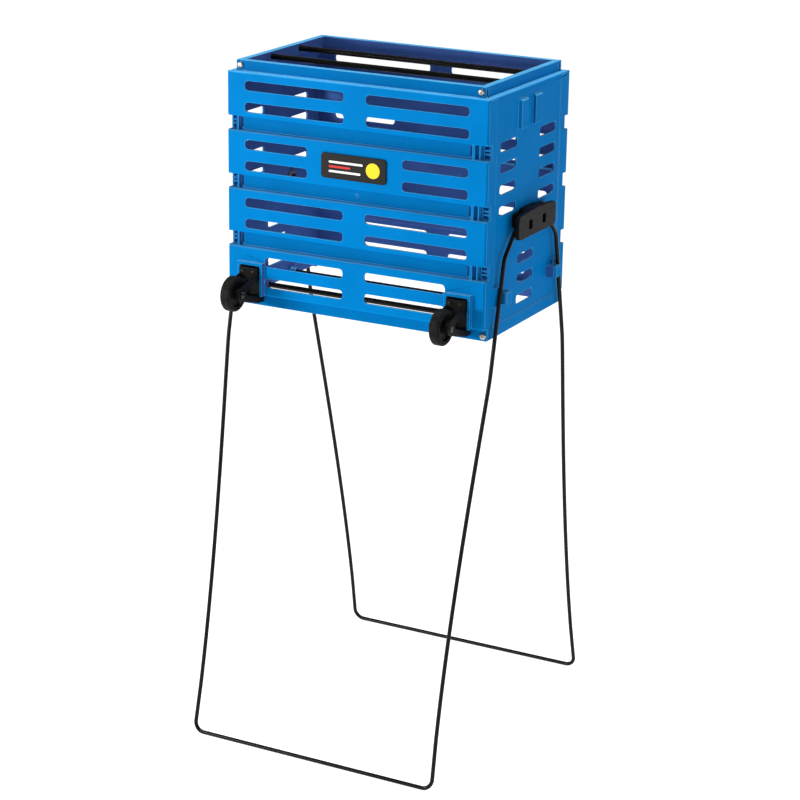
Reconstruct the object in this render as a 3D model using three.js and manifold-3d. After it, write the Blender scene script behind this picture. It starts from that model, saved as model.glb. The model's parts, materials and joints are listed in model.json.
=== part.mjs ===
// Tennis ball hopper: a slatted plastic basket that stands on two fold-over wire frames.
// Millimetres. The ground is z = 0, the basket's length runs along X, the wheels face -Y.
import * as THREE from "three";
import { mergeVertices } from "three/addons/utils/BufferGeometryUtils.js";
import Module from "manifold-3d";

const wasm = await Module();
wasm.setup();

// Basket, measured over the slats
const basketLength = 360;
const basketDepth = 230;
const basketHeight = 310;
const standHeight = 556;
const wall = 2.8;
const stepDepth = 8.7;
const cornerRounding = 3;

// Levels of a long wall: sill, low slat, then grooves and slats in turn, and the rim
const rimHeight = 13;
const rimWidth = 8.7;
const sillHeight = 15.2;
const grooveHeight = 17.6;
const grooveCount = 3;
const lowSlatShare = 0.2664;

// Ball-view slots of all four walls, and their places on the slats of the long walls
const slotHeight = 12;
const slotRounding = 4.2;
const slotDropShares = [0.2964, 0.7768];
const slotInnerEnd = 15.2;
const slotInset = 25.5;
const shortSlotInnerEnd = 65.8;
const lowSlotGap = 1.1;

// Ribs and latch slits where the grooves meet the corners; a wall's two ends differ
const latchSlitInset = 26;
const closeSlitInset = 16.6;
const latchSlitWidth = 3.8;
const latchSlitDepth = 2;
const latchSlitMargin = 2.5;
const broadRibInset = 11.7;
const broadRibWidth = 3.2;
const broadRibHeight = 6.2;
const narrowRibInset = 4.5;
const narrowRibWidth = 1.6;
const narrowRibHeight = 4.2;
const pipDiameter = 4.6;
const pipHeight = 0.8;
const pipGroove = 1;

// Wheel pockets in the low slat of the front wall
const wheelInset = 34.5;
const pocketWidth = 28;
const pocketTop = 54;
const pocketLip = 4;
const pocketStandOut = 5;

// End walls
const fieldRecess = 1;
const borderWidth = 24;
const endSlotLength = 46;
const endSlotOffset = 55.4;
const endSlotPitch = 26.2;
const endSlotDrop = 63.8;
const lowSlotRise = 32.3;
const lowSlotPitch = 25.6;
const lowSlotRows = 3;
const notchDepth = 11.4;
const fingerThickness = 2;
const fingerSpacing = 4.5;
const sillHolePlace = 78;
const sillHoleRise = 10;

// What the end walls carry for the wire frames
const padHeight = 3.9;
const catchInnerEdge = 10;
const catchOuterEdge = 33;
const catchRamp = 4;
const catchDrop = 11;
const catchLength = 38;
const restPadInnerReach = 8.7;
const restPadOuterReach = 12.3;
const restPadBottom = 40;
const restPadTop = 63;
const nubWidth = 17.3;
const nubGap = 0.8;
const nubBottom = 42;
const nubTop = 56;
const nubHeight = 14;
const nubChamfer = 3;

// Rods across the mouth and the base
const rodDiameter = 7;
const topRodOffset = 35;
const topRodDrop = 6.4;
const bottomRodOffset = 35.8;
const bottomRodRise = 6.2;
const rodBossDiameter = 13;
const rodBossDepth = 10;

// Wire frames
const wireDiameter = 5.2;
const wireGap = 0.5;
const pivotOffset = 36;
const pivotRise = 136;
const footSpread = 216.7;
const footInset = 12.7;
const legSlope = 0.2182;
const kneeSlope = 1;
const kneeRadius = 25;
const stubBendRadius = 3;
const footBendRadius = 13;
const straightBelowPivot = 177;
const pinchPull = 35;
const pinchWidth = 21;
const pinchHeight = 200;
const stubEnd = 2.3;
const retainerDiameter = 15;
const retainerThickness = 3;

// Pivot housings
const coverGap = 0.4;
const coverThickness = 5.4;
const coverHalfWidth = 53.5;
const coverDrop = 21;
const coverRise = 9.5;
const coverArch = 2.5;
const coverRounding = 7;
const blockHalfWidth = 27.5;
const blockRounding = 11;
const blockDrop = 19;
const basePlateHalfWidth = 42.5;
const basePlateHalfHeight = 9;
const windowPlace = 19.5;
const windowWidth = 9.5;
const windowHeight = 11;
const windowDrop = 6.3;
const windowFloor = 4;

// Wheels, axles and their brackets
const wheelDiameter = 44.5;
const wheelWidth = 14.2;
const wheelReach = 44.2;
const wheelRise = 26.6;
const treadRounding = 2;
const tyreDepth = 4.2;
const webThickness = 6;
const hubDiameter = 14;
const axleDiameter = 5;
const axleHeadDiameter = 9;
const axleHeadThickness = 1.6;
const bracketWidth = 26;
const cheekThickness = 2.8;
const backPlateThickness = 2.4;
const bracketTop = 52;
const bracketStandOut = 9;
const headBlockHeight = 16;
const shoulderDrop = 8;
const footBlockHeight = 8;
const footBlockRise = 6;
const footBlockReach = 12.4;
const axleBossRadius = 9;
const armWeb = 5;

// Fasteners
const cornerScrewHead = 8.4;
const cornerScrewShank = 3;
const cornerScrewLength = 13;
const topScrewInset = 5.8;
const bottomScrewInset = 4.7;
const bottomScrewRise = 6.3;
const screwBossDepth = 10;
const housingScrewHead = 7;
const housingScrewLength = 10;
const bracketScrewHead = 5;
const bracketScrewShank = 2.4;
const bracketScrewLength = 21;
const bracketScrewSpread = 7.4;
const bracketScrewDrop = 5;
const headHeightShare = 0.28;
const headCrownShare = 0.62;

// Clearances, and the overrun of every cut
const fitGap = 0.3;
const runningGap = 0.35;
const overrun = 6;

// Facets
const arcSteps = 2;
const slotSteps = 2;
const bossSteps = 5;
const roundSides = 12;
const smallSides = 8;
const wheelSides = 24;
const wireSides = 10;
const bendSteps = 4;
const pinchSteps = 10;

const halfLength = basketLength / 2;
const halfDepth = basketDepth / 2;
const rimBase = basketHeight - rimHeight;
const rimEnd = halfLength - stepDepth;
const slatSpace = rimBase - sillHeight - grooveCount * grooveHeight;
const lowSlatHeight = slatSpace * lowSlatShare;
const slatHeight = (slatSpace - lowSlatHeight) / grooveCount;
const slotOuterEnd = halfLength - slotInset;
const wheelPlace = halfLength - wheelInset;
const lowSlotOuterEnd = wheelPlace - pocketWidth / 2 - pocketLip - lowSlotGap;
const wireRadius = wireDiameter / 2;
const rodRadius = rodDiameter / 2;
const pivotHeight = standHeight + pivotRise;
const pivotHole = wireRadius + runningGap;
const fieldFace = halfLength - fieldRecess;
const screwHole = cornerScrewShank / 2 + fitGap;
const wirePlane = fieldFace + padHeight + wireGap + wireRadius;
const footHalfLength = wirePlane - footInset;
const stubTip = fieldFace - wall - fitGap - retainerThickness - stubEnd;
const housingFace = wirePlane + wireRadius + coverGap + coverThickness;
const coverTop = pivotRise + coverRise + coverArch;
const endSlotRows = Math.floor((rimBase - endSlotDrop - slotHeight / 2 - coverTop) / endSlotPitch) + 1;

const blue = new THREE.MeshStandardMaterial({ color: 0x0072bd, roughness: 0.42, metalness: 0 });
const blackPlastic = new THREE.MeshStandardMaterial({ color: 0x1b1a19, roughness: 0.5, metalness: 0 });
const blackWire = new THREE.MeshStandardMaterial({ color: 0x151413, roughness: 0.34, metalness: 0.35 });
const rubber = new THREE.MeshStandardMaterial({ color: 0x242322, roughness: 0.72, metalness: 0 });
const steel = new THREE.MeshStandardMaterial({ color: 0xc4c2bd, roughness: 0.3, metalness: 1 });

// Solids

function solid(geometry) {
  const bare = geometry.index ? geometry.toNonIndexed() : geometry.clone();
  bare.deleteAttribute("normal");
  bare.deleteAttribute("uv");
  const merged = mergeVertices(bare);
  const mesh = new wasm.Mesh({
    numProp: 3,
    vertProperties: new Float32Array(merged.attributes.position.array),
    triVerts: new Uint32Array(merged.index.array),
  });
  return new wasm.Manifold(mesh);
}

function geometryOf(manifold) {
  const mesh = manifold.getMesh();
  const geometry = new THREE.BufferGeometry();
  geometry.setAttribute("position", new THREE.BufferAttribute(new Float32Array(mesh.vertProperties), 3));
  geometry.setIndex(new THREE.BufferAttribute(new Uint32Array(mesh.triVerts), 1));
  geometry.computeVertexNormals();
  return geometry;
}

function union(solids) {
  return solids.reduce((sum, next) => sum.add(next));
}

function box(x0, x1, y0, y1, z0, z1) {
  const geometry = new THREE.BoxGeometry(x1 - x0, y1 - y0, z1 - z0);
  geometry.translate((x0 + x1) / 2, (y0 + y1) / 2, (z0 + z1) / 2);
  return solid(geometry);
}

// A shape drawn in (y, z), run along X
function alongX(shape, x0, x1) {
  const geometry = new THREE.ExtrudeGeometry(shape, {
    depth: x1 - x0, bevelEnabled: false, curveSegments: arcSteps,
  });
  const turn = new THREE.Matrix4().makeBasis(
    new THREE.Vector3(0, 1, 0), new THREE.Vector3(0, 0, 1), new THREE.Vector3(1, 0, 0));
  geometry.applyMatrix4(turn);
  geometry.translate(x0, 0, 0);
  return solid(geometry);
}

// A shape drawn in (x, z), run along Y
function alongY(shape, y0, y1) {
  const geometry = new THREE.ExtrudeGeometry(shape, {
    depth: y1 - y0, bevelEnabled: false, curveSegments: arcSteps,
  });
  const turn = new THREE.Matrix4().makeBasis(
    new THREE.Vector3(1, 0, 0), new THREE.Vector3(0, 0, 1), new THREE.Vector3(0, -1, 0));
  geometry.applyMatrix4(turn);
  geometry.translate(0, y1, 0);
  return solid(geometry);
}

// A shape drawn in (x, y), run along Z
function alongZ(shape, z0, z1) {
  const geometry = new THREE.ExtrudeGeometry(shape, {
    depth: z1 - z0, bevelEnabled: false, curveSegments: arcSteps,
  });
  geometry.translate(0, 0, z0);
  return solid(geometry);
}

function outline(points) {
  return new THREE.Shape(points.map(([a, b]) => new THREE.Vector2(a, b)));
}

// A rectangle with round corners
function roundedRectangle(a0, a1, b0, b1, radius) {
  const shape = new THREE.Shape();
  shape.moveTo(a0 + radius, b0);
  shape.absarc(a1 - radius, b0 + radius, radius, -Math.PI / 2, 0);
  shape.absarc(a1 - radius, b1 - radius, radius, 0, Math.PI / 2);
  shape.absarc(a0 + radius, b1 - radius, radius, Math.PI / 2, Math.PI);
  shape.absarc(a0 + radius, b0 + radius, radius, Math.PI, 3 * Math.PI / 2);
  return shape;
}

// A slot with round corners, from its lower right corner round
function slotOutline(from, to, middle) {
  const corners = [[1, -1], [1, 1], [-1, 1], [-1, -1]];
  const reach = (to - from) / 2 - slotRounding;
  const rise = slotHeight / 2 - slotRounding;
  const points = [];
  corners.forEach(([across, up], index) => {
    for (let step = 0; step <= slotSteps; step += 1) {
      const angle = (index - 1 + step / slotSteps) * Math.PI / 2;
      points.push([
        (from + to) / 2 + across * reach + slotRounding * Math.cos(angle),
        middle + up * rise + slotRounding * Math.sin(angle),
      ]);
    }
  });
  return outline(points);
}

// A cylinder along X, Y or Z between two places
function pin(axis, radius, from, to, a, b, sides = smallSides) {
  const geometry = new THREE.CylinderGeometry(radius, radius, to - from, sides);
  const middle = (from + to) / 2;
  if (axis === "x") {
    geometry.rotateZ(-Math.PI / 2);
    geometry.translate(middle, a, b);
  }
  if (axis === "y") {
    geometry.translate(a, middle, b);
  }
  if (axis === "z") {
    geometry.rotateX(Math.PI / 2);
    geometry.translate(a, b, middle);
  }
  return solid(geometry);
}

// A profile of [radius, place] points turned about its own axis, which is laid along X
function turned(points, sides) {
  const profile = points.map(([radius, place]) => new THREE.Vector2(radius, place));
  const geometry = new THREE.LatheGeometry(profile, sides);
  geometry.rotateZ(-Math.PI / 2);
  const made = solid(geometry);
  if (made.volume() >= 0) {
    return geometryOf(made);
  }
  return geometryOf(solid(new THREE.LatheGeometry(profile.reverse(), sides).rotateZ(-Math.PI / 2)));
}

// Long walls

// The bottom and top of each slat, from the sill up
function slatLevels() {
  const levels = [[sillHeight, sillHeight + lowSlatHeight]];
  for (let index = 0; index < grooveCount; index += 1) {
    const bottom = levels[index][1] + grooveHeight;
    levels.push([bottom, bottom + slatHeight]);
  }
  return levels;
}

// Section of a long wall in (y, z): y grows inwards from the slats' faces
function wallSection() {
  const shape = new THREE.Shape();
  const levels = slatLevels();
  shape.moveTo(stepDepth, 0);
  for (const [bottom, top] of levels) {
    shape.lineTo(stepDepth, bottom);
    shape.lineTo(cornerRounding, bottom);
    shape.absarc(cornerRounding, bottom + cornerRounding, cornerRounding, 3 * Math.PI / 2, Math.PI, true);
    shape.lineTo(0, top - cornerRounding);
    shape.absarc(cornerRounding, top - cornerRounding, cornerRounding, Math.PI, Math.PI / 2, true);
    shape.lineTo(stepDepth, top);
  }
  const inner = stepDepth + rimWidth;
  shape.lineTo(stepDepth, basketHeight);
  shape.lineTo(inner, basketHeight);
  shape.lineTo(inner, rimBase);
  shape.lineTo(inner - wall, rimBase);
  shape.lineTo(inner - wall, basketHeight - wall);
  shape.lineTo(stepDepth + wall, basketHeight - wall);
  for (const [bottom, top] of levels.reverse()) {
    shape.lineTo(stepDepth + wall, top - wall);
    shape.lineTo(wall, top - wall);
    shape.lineTo(wall, bottom + wall);
    shape.lineTo(stepDepth + wall, bottom + wall);
  }
  shape.lineTo(stepDepth + wall, 0);
  return shape;
}

// Keeps a long wall inside the round vertical edges of the basket
function roundedEnvelope() {
  const plan = roundedRectangle(-halfLength, halfLength, 0, basketDepth, cornerRounding);
  const envelope = alongZ(plan, 0, basketHeight);
  const outward = box(-halfLength, halfLength, -overrun, 0, 0, pocketTop + pocketLip);
  return envelope.add(outward.intersect(pocketZone()));
}

function pocketZone() {
  const reach = pocketWidth / 2 + pocketLip;
  const zone = (side) => box(
    side * wheelPlace - reach, side * wheelPlace + reach, -overrun, basketDepth, 0, basketHeight);
  return zone(-1).add(zone(1));
}

// Both slots of one slat on one side of the middle
function slatSlots(top, from, to) {
  const cuts = [];
  for (const side of [-1, 1]) {
    for (const share of slotDropShares) {
      const ends = [side * from, side * to].sort((a, b) => a - b);
      const middle = top - share * slatHeight;
      cuts.push(alongY(slotOutline(ends[0], ends[1], middle), -overrun, stepDepth));
    }
  }
  return union(cuts);
}

function wallSlots() {
  const levels = slatLevels();
  const ends = [
    [slotInnerEnd, lowSlotOuterEnd],
    [slotInnerEnd, slotOuterEnd],
    [shortSlotInnerEnd, slotOuterEnd],
    [slotInnerEnd, slotOuterEnd],
  ];
  return union(levels.map(([, top], index) => slatSlots(top, ends[index][0], ends[index][1])));
}

// Ribs at one end of one groove: a narrow one, and beside it a broad one at the wall's right end
function grooveRibs(side, bottom) {
  const rib = (place, width, height) => box(
    side * place - width / 2, side * place + width / 2,
    stepDepth - height, stepDepth + wall / 2, bottom - wall / 2, bottom + grooveHeight + wall / 2);
  const narrow = rib(rimEnd - narrowRibInset, narrowRibWidth, narrowRibHeight);
  return side < 0 ? narrow : narrow.add(rib(rimEnd - broadRibInset, broadRibWidth, broadRibHeight));
}

// Blind latch slit at one end of one groove
function latchSlit(side, bottom) {
  const middle = side * (halfLength - (side < 0 ? closeSlitInset : latchSlitInset));
  return box(
    middle - latchSlitWidth / 2, middle + latchSlitWidth / 2,
    stepDepth - wall / 2, stepDepth + latchSlitDepth,
    bottom + latchSlitMargin, bottom + grooveHeight - latchSlitMargin);
}

// Low round pip in the middle of one groove
function groovePip() {
  const middle = slatLevels()[pipGroove][1] + grooveHeight / 2;
  return pin("y", pipDiameter / 2, stepDepth - pipHeight, stepDepth + wall / 2, 0, middle);
}

// Room for an end wall behind the slats' faces, and its open corner at each groove
function cornerCuts(side) {
  const spans = (from, to) => [side * from, side * to].sort((a, b) => a - b);
  const [behind0, behind1] = spans(rimEnd, halfLength + overrun);
  const [open0, open1] = spans(rimEnd - fitGap, halfLength + overrun);
  const cuts = [box(behind0, behind1, wall + fitGap, basketDepth, sillHeight, basketHeight + overrun)];
  cuts.push(box(behind0, behind1, -overrun, basketDepth, rimBase, basketHeight + overrun));
  for (const [, top] of slatLevels().slice(0, grooveCount)) {
    cuts.push(box(open0, open1, -overrun, basketDepth, top, top + grooveHeight));
  }
  return union(cuts);
}

// The bracket's pocket: a recess with a raised lip round it, open at the bottom
function wheelPocket(side) {
  const middle = side * wheelPlace;
  const half = pocketWidth / 2;
  const hollow = box(middle - half, middle + half, -overrun, stepDepth, -overrun, pocketTop);
  const shell = box(
    middle - half - pocketLip, middle + half + pocketLip,
    -pocketStandOut, stepDepth + wall, sillHeight, pocketTop + pocketLip);
  return { hollow, shell };
}

function bracketScrewPlaces(side) {
  return [-1, 1].map((hand) => side * wheelPlace + hand * bracketScrewSpread);
}

function longWall(hasWheels) {
  let made = alongX(wallSection(), -halfLength, halfLength).intersect(roundedEnvelope());
  made = made.subtract(wallSlots()).add(groovePip());
  for (const side of [-1, 1]) {
    for (const [, top] of slatLevels().slice(0, grooveCount)) {
      made = made.add(grooveRibs(side, top)).subtract(latchSlit(side, top));
    }
    made = made.subtract(cornerCuts(side));
    if (hasWheels) {
      const { hollow, shell } = wheelPocket(side);
      made = made.add(shell).subtract(hollow);
      for (const place of bracketScrewPlaces(side)) {
        made = made.subtract(pin("y", bracketScrewShank / 2 + fitGap, 0, stepDepth + wall + overrun,
          place, bracketTop - bracketScrewDrop));
      }
    }
    const topScrew = side * (rimEnd - topScrewInset);
    const bottomScrew = side * (halfLength - bottomScrewInset);
    made = made.subtract(pin("y", screwHole, 0, stepDepth + rimWidth + overrun,
      topScrew, basketHeight - rimHeight / 2));
    made = made.subtract(pin("y", screwHole, 0, stepDepth + wall + overrun,
      bottomScrew, bottomScrewRise));
  }
  return geometryOf(made);
}

// End walls: x is measured from the basket's middle, and the wall is at +X

// Plan of the panel: raised borders and a field that lies a little deeper
function panelPlan(reach) {
  const border = halfDepth - borderWidth;
  const slope = fieldRecess;
  return outline([
    [halfLength - wall, -reach], [halfLength, -reach], [halfLength, -border],
    [fieldFace, -border + slope], [fieldFace, border - slope], [halfLength, border],
    [halfLength, reach], [halfLength - wall, reach], [halfLength - wall, border],
    [fieldFace - wall, border - slope], [fieldFace - wall, -border + slope],
    [halfLength - wall, -border],
  ]);
}

// Shoulder over the panel, in (x, z), with the slats' rounding
function shoulderSection(innerEdge) {
  const shape = new THREE.Shape();
  shape.moveTo(innerEdge, rimBase);
  shape.lineTo(innerEdge, rimBase - wall);
  shape.lineTo(fieldFace - wall, rimBase - wall);
  shape.lineTo(fieldFace - wall, rimBase - wall - cornerRounding);
  shape.lineTo(halfLength, rimBase - wall - cornerRounding);
  shape.lineTo(halfLength, rimBase - cornerRounding);
  shape.absarc(halfLength - cornerRounding, rimBase - cornerRounding, cornerRounding, 0, Math.PI / 2);
  return shape;
}

// Rim channel over the panel, in (x, z), open below
function rimSection() {
  const inner = rimEnd - rimWidth;
  return outline([
    [rimEnd, rimBase - wall], [rimEnd, basketHeight], [inner, basketHeight], [inner, rimBase],
    [inner + wall, rimBase], [inner + wall, basketHeight - wall],
    [rimEnd - wall, basketHeight - wall], [rimEnd - wall, rimBase - wall],
  ]);
}

function endPanelBody() {
  const reach = halfDepth - wall - fitGap;
  const sillReach = halfDepth - stepDepth - wall - fitGap;
  const rimReach = halfDepth - stepDepth - rimWidth - fitGap;
  const panel = alongZ(panelPlan(reach), sillHeight, rimBase - wall);
  const sill = box(halfLength - wall, halfLength, -sillReach, sillReach, 0, sillHeight);
  const lip = box(fieldFace - wall, halfLength, -sillReach, sillReach, sillHeight - wall, sillHeight);
  const shoulder = alongY(shoulderSection(rimEnd + fitGap), -reach, reach);
  const innerShoulder = alongY(shoulderSection(rimEnd - wall), -rimReach, rimReach);
  const rim = alongY(rimSection(), -rimReach, rimReach);
  return union([panel, sill, lip, shoulder, innerShoulder, rim]);
}

// Pocket at one corner of one groove: a back plate between two shelves, and the finger pair before it
function grooveLock(side, bottom) {
  const top = bottom + grooveHeight;
  const plate = halfDepth - notchDepth - wall;
  const x0 = rimEnd + fitGap;
  const x1 = halfLength - wall / 2;
  const part = (from, to, z0, z1) => {
    const [y0, y1] = [side * from, side * to].sort((a, b) => a - b);
    return box(x0, x1, y0, y1, z0, z1);
  };
  const reach = halfDepth - wall - fitGap;
  const parts = [
    part(plate - wall, plate, bottom - wall, top + wall),
    part(plate - wall, reach, bottom - wall, bottom),
    part(plate - wall, reach, top, top + wall),
  ];
  for (const hand of [-1, 1]) {
    const middle = bottom + grooveHeight / 2 + hand * fingerSpacing / 2;
    parts.push(part(plate - wall / 2, halfDepth - stepDepth,
      middle - fingerThickness / 2, middle + fingerThickness / 2));
  }
  return union(parts);
}

function grooveNotch(side, bottom) {
  const [y0, y1] = [side * (halfDepth - notchDepth), side * (halfDepth + overrun)].sort((a, b) => a - b);
  return box(rimEnd, halfLength + overrun, y0, y1, bottom, bottom + grooveHeight);
}

function endSlots() {
  const cuts = [];
  const cut = (middle, height) => alongX(
    slotOutline(middle - endSlotLength / 2, middle + endSlotLength / 2, height),
    halfLength - wall - overrun, halfLength + overrun);
  for (let row = 0; row < endSlotRows; row += 1) {
    for (const side of [-1, 1]) {
      cuts.push(cut(side * endSlotOffset, rimBase - endSlotDrop - row * endSlotPitch));
    }
  }
  for (let row = 0; row < lowSlotRows; row += 1) {
    cuts.push(cut(0, lowSlotRise + row * lowSlotPitch));
  }
  return union(cuts);
}

// One half of the catch that keeps the raised wires together, ramped on its outer side and on top
function catchPad(side) {
  const foot = fieldFace - wall / 2;
  const crest = fieldFace + padHeight;
  const top = rimBase - catchDrop;
  const plan = outline([
    [foot, side * catchInnerEdge], [crest, side * catchInnerEdge],
    [crest, side * (catchOuterEdge - catchRamp)], [foot, side * catchOuterEdge],
  ]);
  const profile = outline([
    [foot, top - catchLength], [crest, top - catchLength], [crest, top - catchRamp], [foot, top],
  ]);
  return alongZ(plan, top - catchLength, top).intersect(alongY(profile, -catchOuterEdge, catchOuterEdge));
}

// How far from the middle the lowered legs are, at a height over the basket's base
function legPlace(height) {
  return footSpread - legSlope * (standHeight + height - wireRadius);
}

// Low pad under the lowered wire, and the nub that the wire closes against
function restPad(side) {
  const foot = fieldFace - wall / 2;
  const crest = fieldFace + padHeight;
  const middle = legPlace((restPadBottom + restPadTop) / 2);
  const inner = middle - restPadInnerReach;
  const outer = middle + restPadOuterReach;
  const plan = outline([
    [foot, side * inner], [crest, side * inner], [crest, side * (inner + outer) / 2],
    [halfLength, side * outer], [foot, side * outer],
  ]);
  return alongZ(plan, restPadBottom, restPadTop);
}

function nub(side) {
  const foot = fieldFace - wall / 2;
  const crest = fieldFace + nubHeight;
  const outer = legPlace(nubTop) - wireRadius - nubGap;
  const inner = outer - nubWidth;
  const plan = outline([
    [foot, side * inner], [crest - nubChamfer, side * inner],
    [crest, side * (inner + nubChamfer)], [crest, side * (outer - nubChamfer / 2)],
    [crest - nubChamfer / 2, side * outer], [foot, side * outer],
  ]);
  return alongZ(plan, nubBottom, nubTop);
}

// Solid bosses for the rods and the corner screws, and every hole in the end wall
function endBosses() {
  const rimInner = rimEnd - rimWidth;
  const rimReach = halfDepth - stepDepth - rimWidth - fitGap;
  const sillReach = halfDepth - stepDepth - wall - fitGap;
  const inner = halfLength - wall - rodBossDepth;
  const parts = [];
  for (const side of [-1, 1]) {
    const [rim0, rim1] = [side * (rimReach - screwBossDepth), side * rimReach].sort((a, b) => a - b);
    const [sill0, sill1] = [side * (sillReach - screwBossDepth), side * sillReach].sort((a, b) => a - b);
    const boss = pin("x", rodBossDiameter / 2, inner, halfLength - wall / 2,
      side * bottomRodOffset, bottomRodRise, roundSides);
    parts.push(boss.intersect(box(inner, halfLength, -halfDepth, halfDepth, 0, basketHeight)));
    parts.push(box(rimInner + wall / 2, rimEnd - wall / 2, rim0, rim1, rimBase, basketHeight - wall / 2));
    parts.push(box(halfLength - stepDepth, halfLength - wall / 2, sill0, sill1, 0, sillHeight - wall / 2));
  }
  return union(parts);
}

function endHoles() {
  const through = [halfLength - wall - overrun, halfLength + overrun];
  const rodHole = rodRadius + runningGap;
  const rimReach = halfDepth - stepDepth - rimWidth - fitGap;
  const sillReach = halfDepth - stepDepth - wall - fitGap;
  const cuts = [];
  for (const side of [-1, 1]) {
    const throughBoss = (reach) =>
      [side * (reach - screwBossDepth - overrun / 2), side * (reach + overrun)].sort((a, b) => a - b);
    const [rim0, rim1] = throughBoss(rimReach);
    const [sill0, sill1] = throughBoss(sillReach);
    cuts.push(pin("x", pivotHole, through[0], through[1], side * pivotOffset, pivotRise, roundSides));
    cuts.push(pin("x", screwHole, through[0], through[1], side * windowPlace, pivotRise - windowDrop));
    cuts.push(pin("x", rodHole, rimEnd - rimWidth - overrun, rimEnd - wall,
      side * topRodOffset, basketHeight - topRodDrop, roundSides));
    cuts.push(pin("x", rodHole, 0, halfLength - wall, side * bottomRodOffset, bottomRodRise, roundSides));
    cuts.push(pin("y", screwHole, rim0, rim1, rimEnd - topScrewInset, basketHeight - rimHeight / 2));
    cuts.push(pin("y", screwHole, sill0, sill1, halfLength - bottomScrewInset, bottomScrewRise));
  }
  cuts.push(pin("x", screwHole, through[0], through[1], sillHolePlace, sillHoleRise));
  return union(cuts);
}

function endWall() {
  let made = endPanelBody();
  for (const side of [-1, 1]) {
    for (const [, top] of slatLevels().slice(0, grooveCount)) {
      made = made.subtract(grooveNotch(side, top)).add(grooveLock(side, top));
    }
    made = union([made, catchPad(side), restPad(side), nub(side)]);
  }
  return geometryOf(made.add(endBosses()).subtract(endSlots()).subtract(endHoles()));
}

// Wire frames

// A path given by stations: equal steps of the parameter go from one station to the next
class StationPath extends THREE.Curve {
  constructor(stations) {
    super();
    this.stations = stations;
  }

  getPoint(t, target = new THREE.Vector3()) {
    const place = t * (this.stations.length - 1);
    const index = Math.min(Math.floor(place), this.stations.length - 2);
    return target.lerpVectors(this.stations[index], this.stations[index + 1], place - index);
  }

  getTangent(t, target = new THREE.Vector3()) {
    const last = this.stations.length - 1;
    const index = Math.round(t * last);
    const before = this.stations[Math.max(index - 1, 0)];
    const after = this.stations[Math.min(index + 1, last)];
    return target.subVectors(after, before).normalize();
  }

  getPointAt(u, target) {
    return this.getPoint(u, target);
  }

  getTangentAt(u, target) {
    return this.getTangent(u, target);
  }
}

// Stations round a bend of the given radius at a corner between two neighbours
function bend(before, corner, after, radius) {
  const back = before.clone().sub(corner).normalize();
  const ahead = after.clone().sub(corner).normalize();
  const half = back.angleTo(ahead) / 2;
  const reach = radius / Math.tan(half);
  const centre = back.clone().add(ahead).normalize().multiplyScalar(radius / Math.sin(half)).add(corner);
  const from = back.clone().multiplyScalar(reach).add(corner).sub(centre);
  const to = ahead.clone().multiplyScalar(reach).add(corner).sub(centre);
  const sweep = from.angleTo(to);
  const stations = [];
  for (let step = 0; step <= bendSteps; step += 1) {
    const share = step / bendSteps;
    const a = Math.sin((1 - share) * sweep) / Math.sin(sweep);
    const b = Math.sin(share * sweep) / Math.sin(sweep);
    stations.push(from.clone().multiplyScalar(a).addScaledVector(to, b).add(centre));
  }
  return stations;
}

// Half of the front frame's wire, from the stub at +X to the middle of the foot, from the pivot axis
function halfWire() {
  const legAtPivot = legPlace(pivotRise) - pivotOffset;
  const knee = legAtPivot / (kneeSlope - legSlope);
  const onLeg = (drop) => -(legAtPivot + legSlope * drop);
  const footDrop = pivotHeight - wireRadius;
  const tip = new THREE.Vector3(stubTip, 0, 0);
  const elbow = new THREE.Vector3(wirePlane, 0, 0);
  const kneeCorner = new THREE.Vector3(wirePlane, -knee * kneeSlope, -knee);
  const legTop = new THREE.Vector3(wirePlane, onLeg(straightBelowPivot), -straightBelowPivot);
  const pullDrop = straightBelowPivot + pinchPull;
  const pinchDrop = pivotHeight - pinchHeight;
  const pinch = new THREE.CubicBezierCurve3(
    legTop,
    new THREE.Vector3(wirePlane, onLeg(pullDrop), -pullDrop),
    new THREE.Vector3(wirePlane - pinchWidth, onLeg(pinchDrop), -pinchDrop),
    new THREE.Vector3(footHalfLength, -(footSpread - pivotOffset), -footDrop),
  );
  const leg = pinch.getPoints(pinchSteps);
  const foot = leg.pop();
  const middle = new THREE.Vector3(0, foot.y, foot.z);
  return [
    tip,
    ...bend(tip, elbow, kneeCorner, stubBendRadius),
    ...bend(elbow, kneeCorner, legTop, kneeRadius),
    ...leg,
    ...bend(leg[leg.length - 1], foot, middle, footBendRadius),
  ];
}

// Round section with one flat turned so that it lies on the ground under the foot
function wireSection(path, steps) {
  const middle = Math.floor(steps / 2);
  const { normals, binormals } = path.computeFrenetFrames(steps, false);
  const down = Math.atan2(-binormals[middle].z, -normals[middle].z);
  const corner = wireRadius / Math.cos(Math.PI / wireSides);
  const points = [];
  for (let index = 0; index < wireSides; index += 1) {
    const angle = down + 2 * Math.PI * (index + 1 / 2) / wireSides;
    points.push([corner * Math.cos(angle), corner * Math.sin(angle)]);
  }
  return outline(points);
}

function wireFrame() {
  const right = halfWire();
  const left = right.map((station) => new THREE.Vector3(-station.x, station.y, station.z)).reverse();
  const path = new StationPath([...right, ...left]);
  const steps = path.stations.length - 1;
  const section = wireSection(path, steps);
  return geometryOf(solid(new THREE.ExtrudeGeometry(section, { steps, extrudePath: path })));
}

// Push-on retainer that holds a stub inside the end wall, along X from its outer face
function stubRetainer() {
  const bore = pivotHole;
  const rim = retainerDiameter / 2;
  const crown = retainerThickness / 2;
  return turned([
    [bore, 0], [rim, 0], [rim, crown], [rim - crown, retainerThickness],
    [bore, retainerThickness], [bore, 0],
  ], roundSides);
}

// Pivot housings: y from the middle, z from the pivots, at +X

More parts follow.
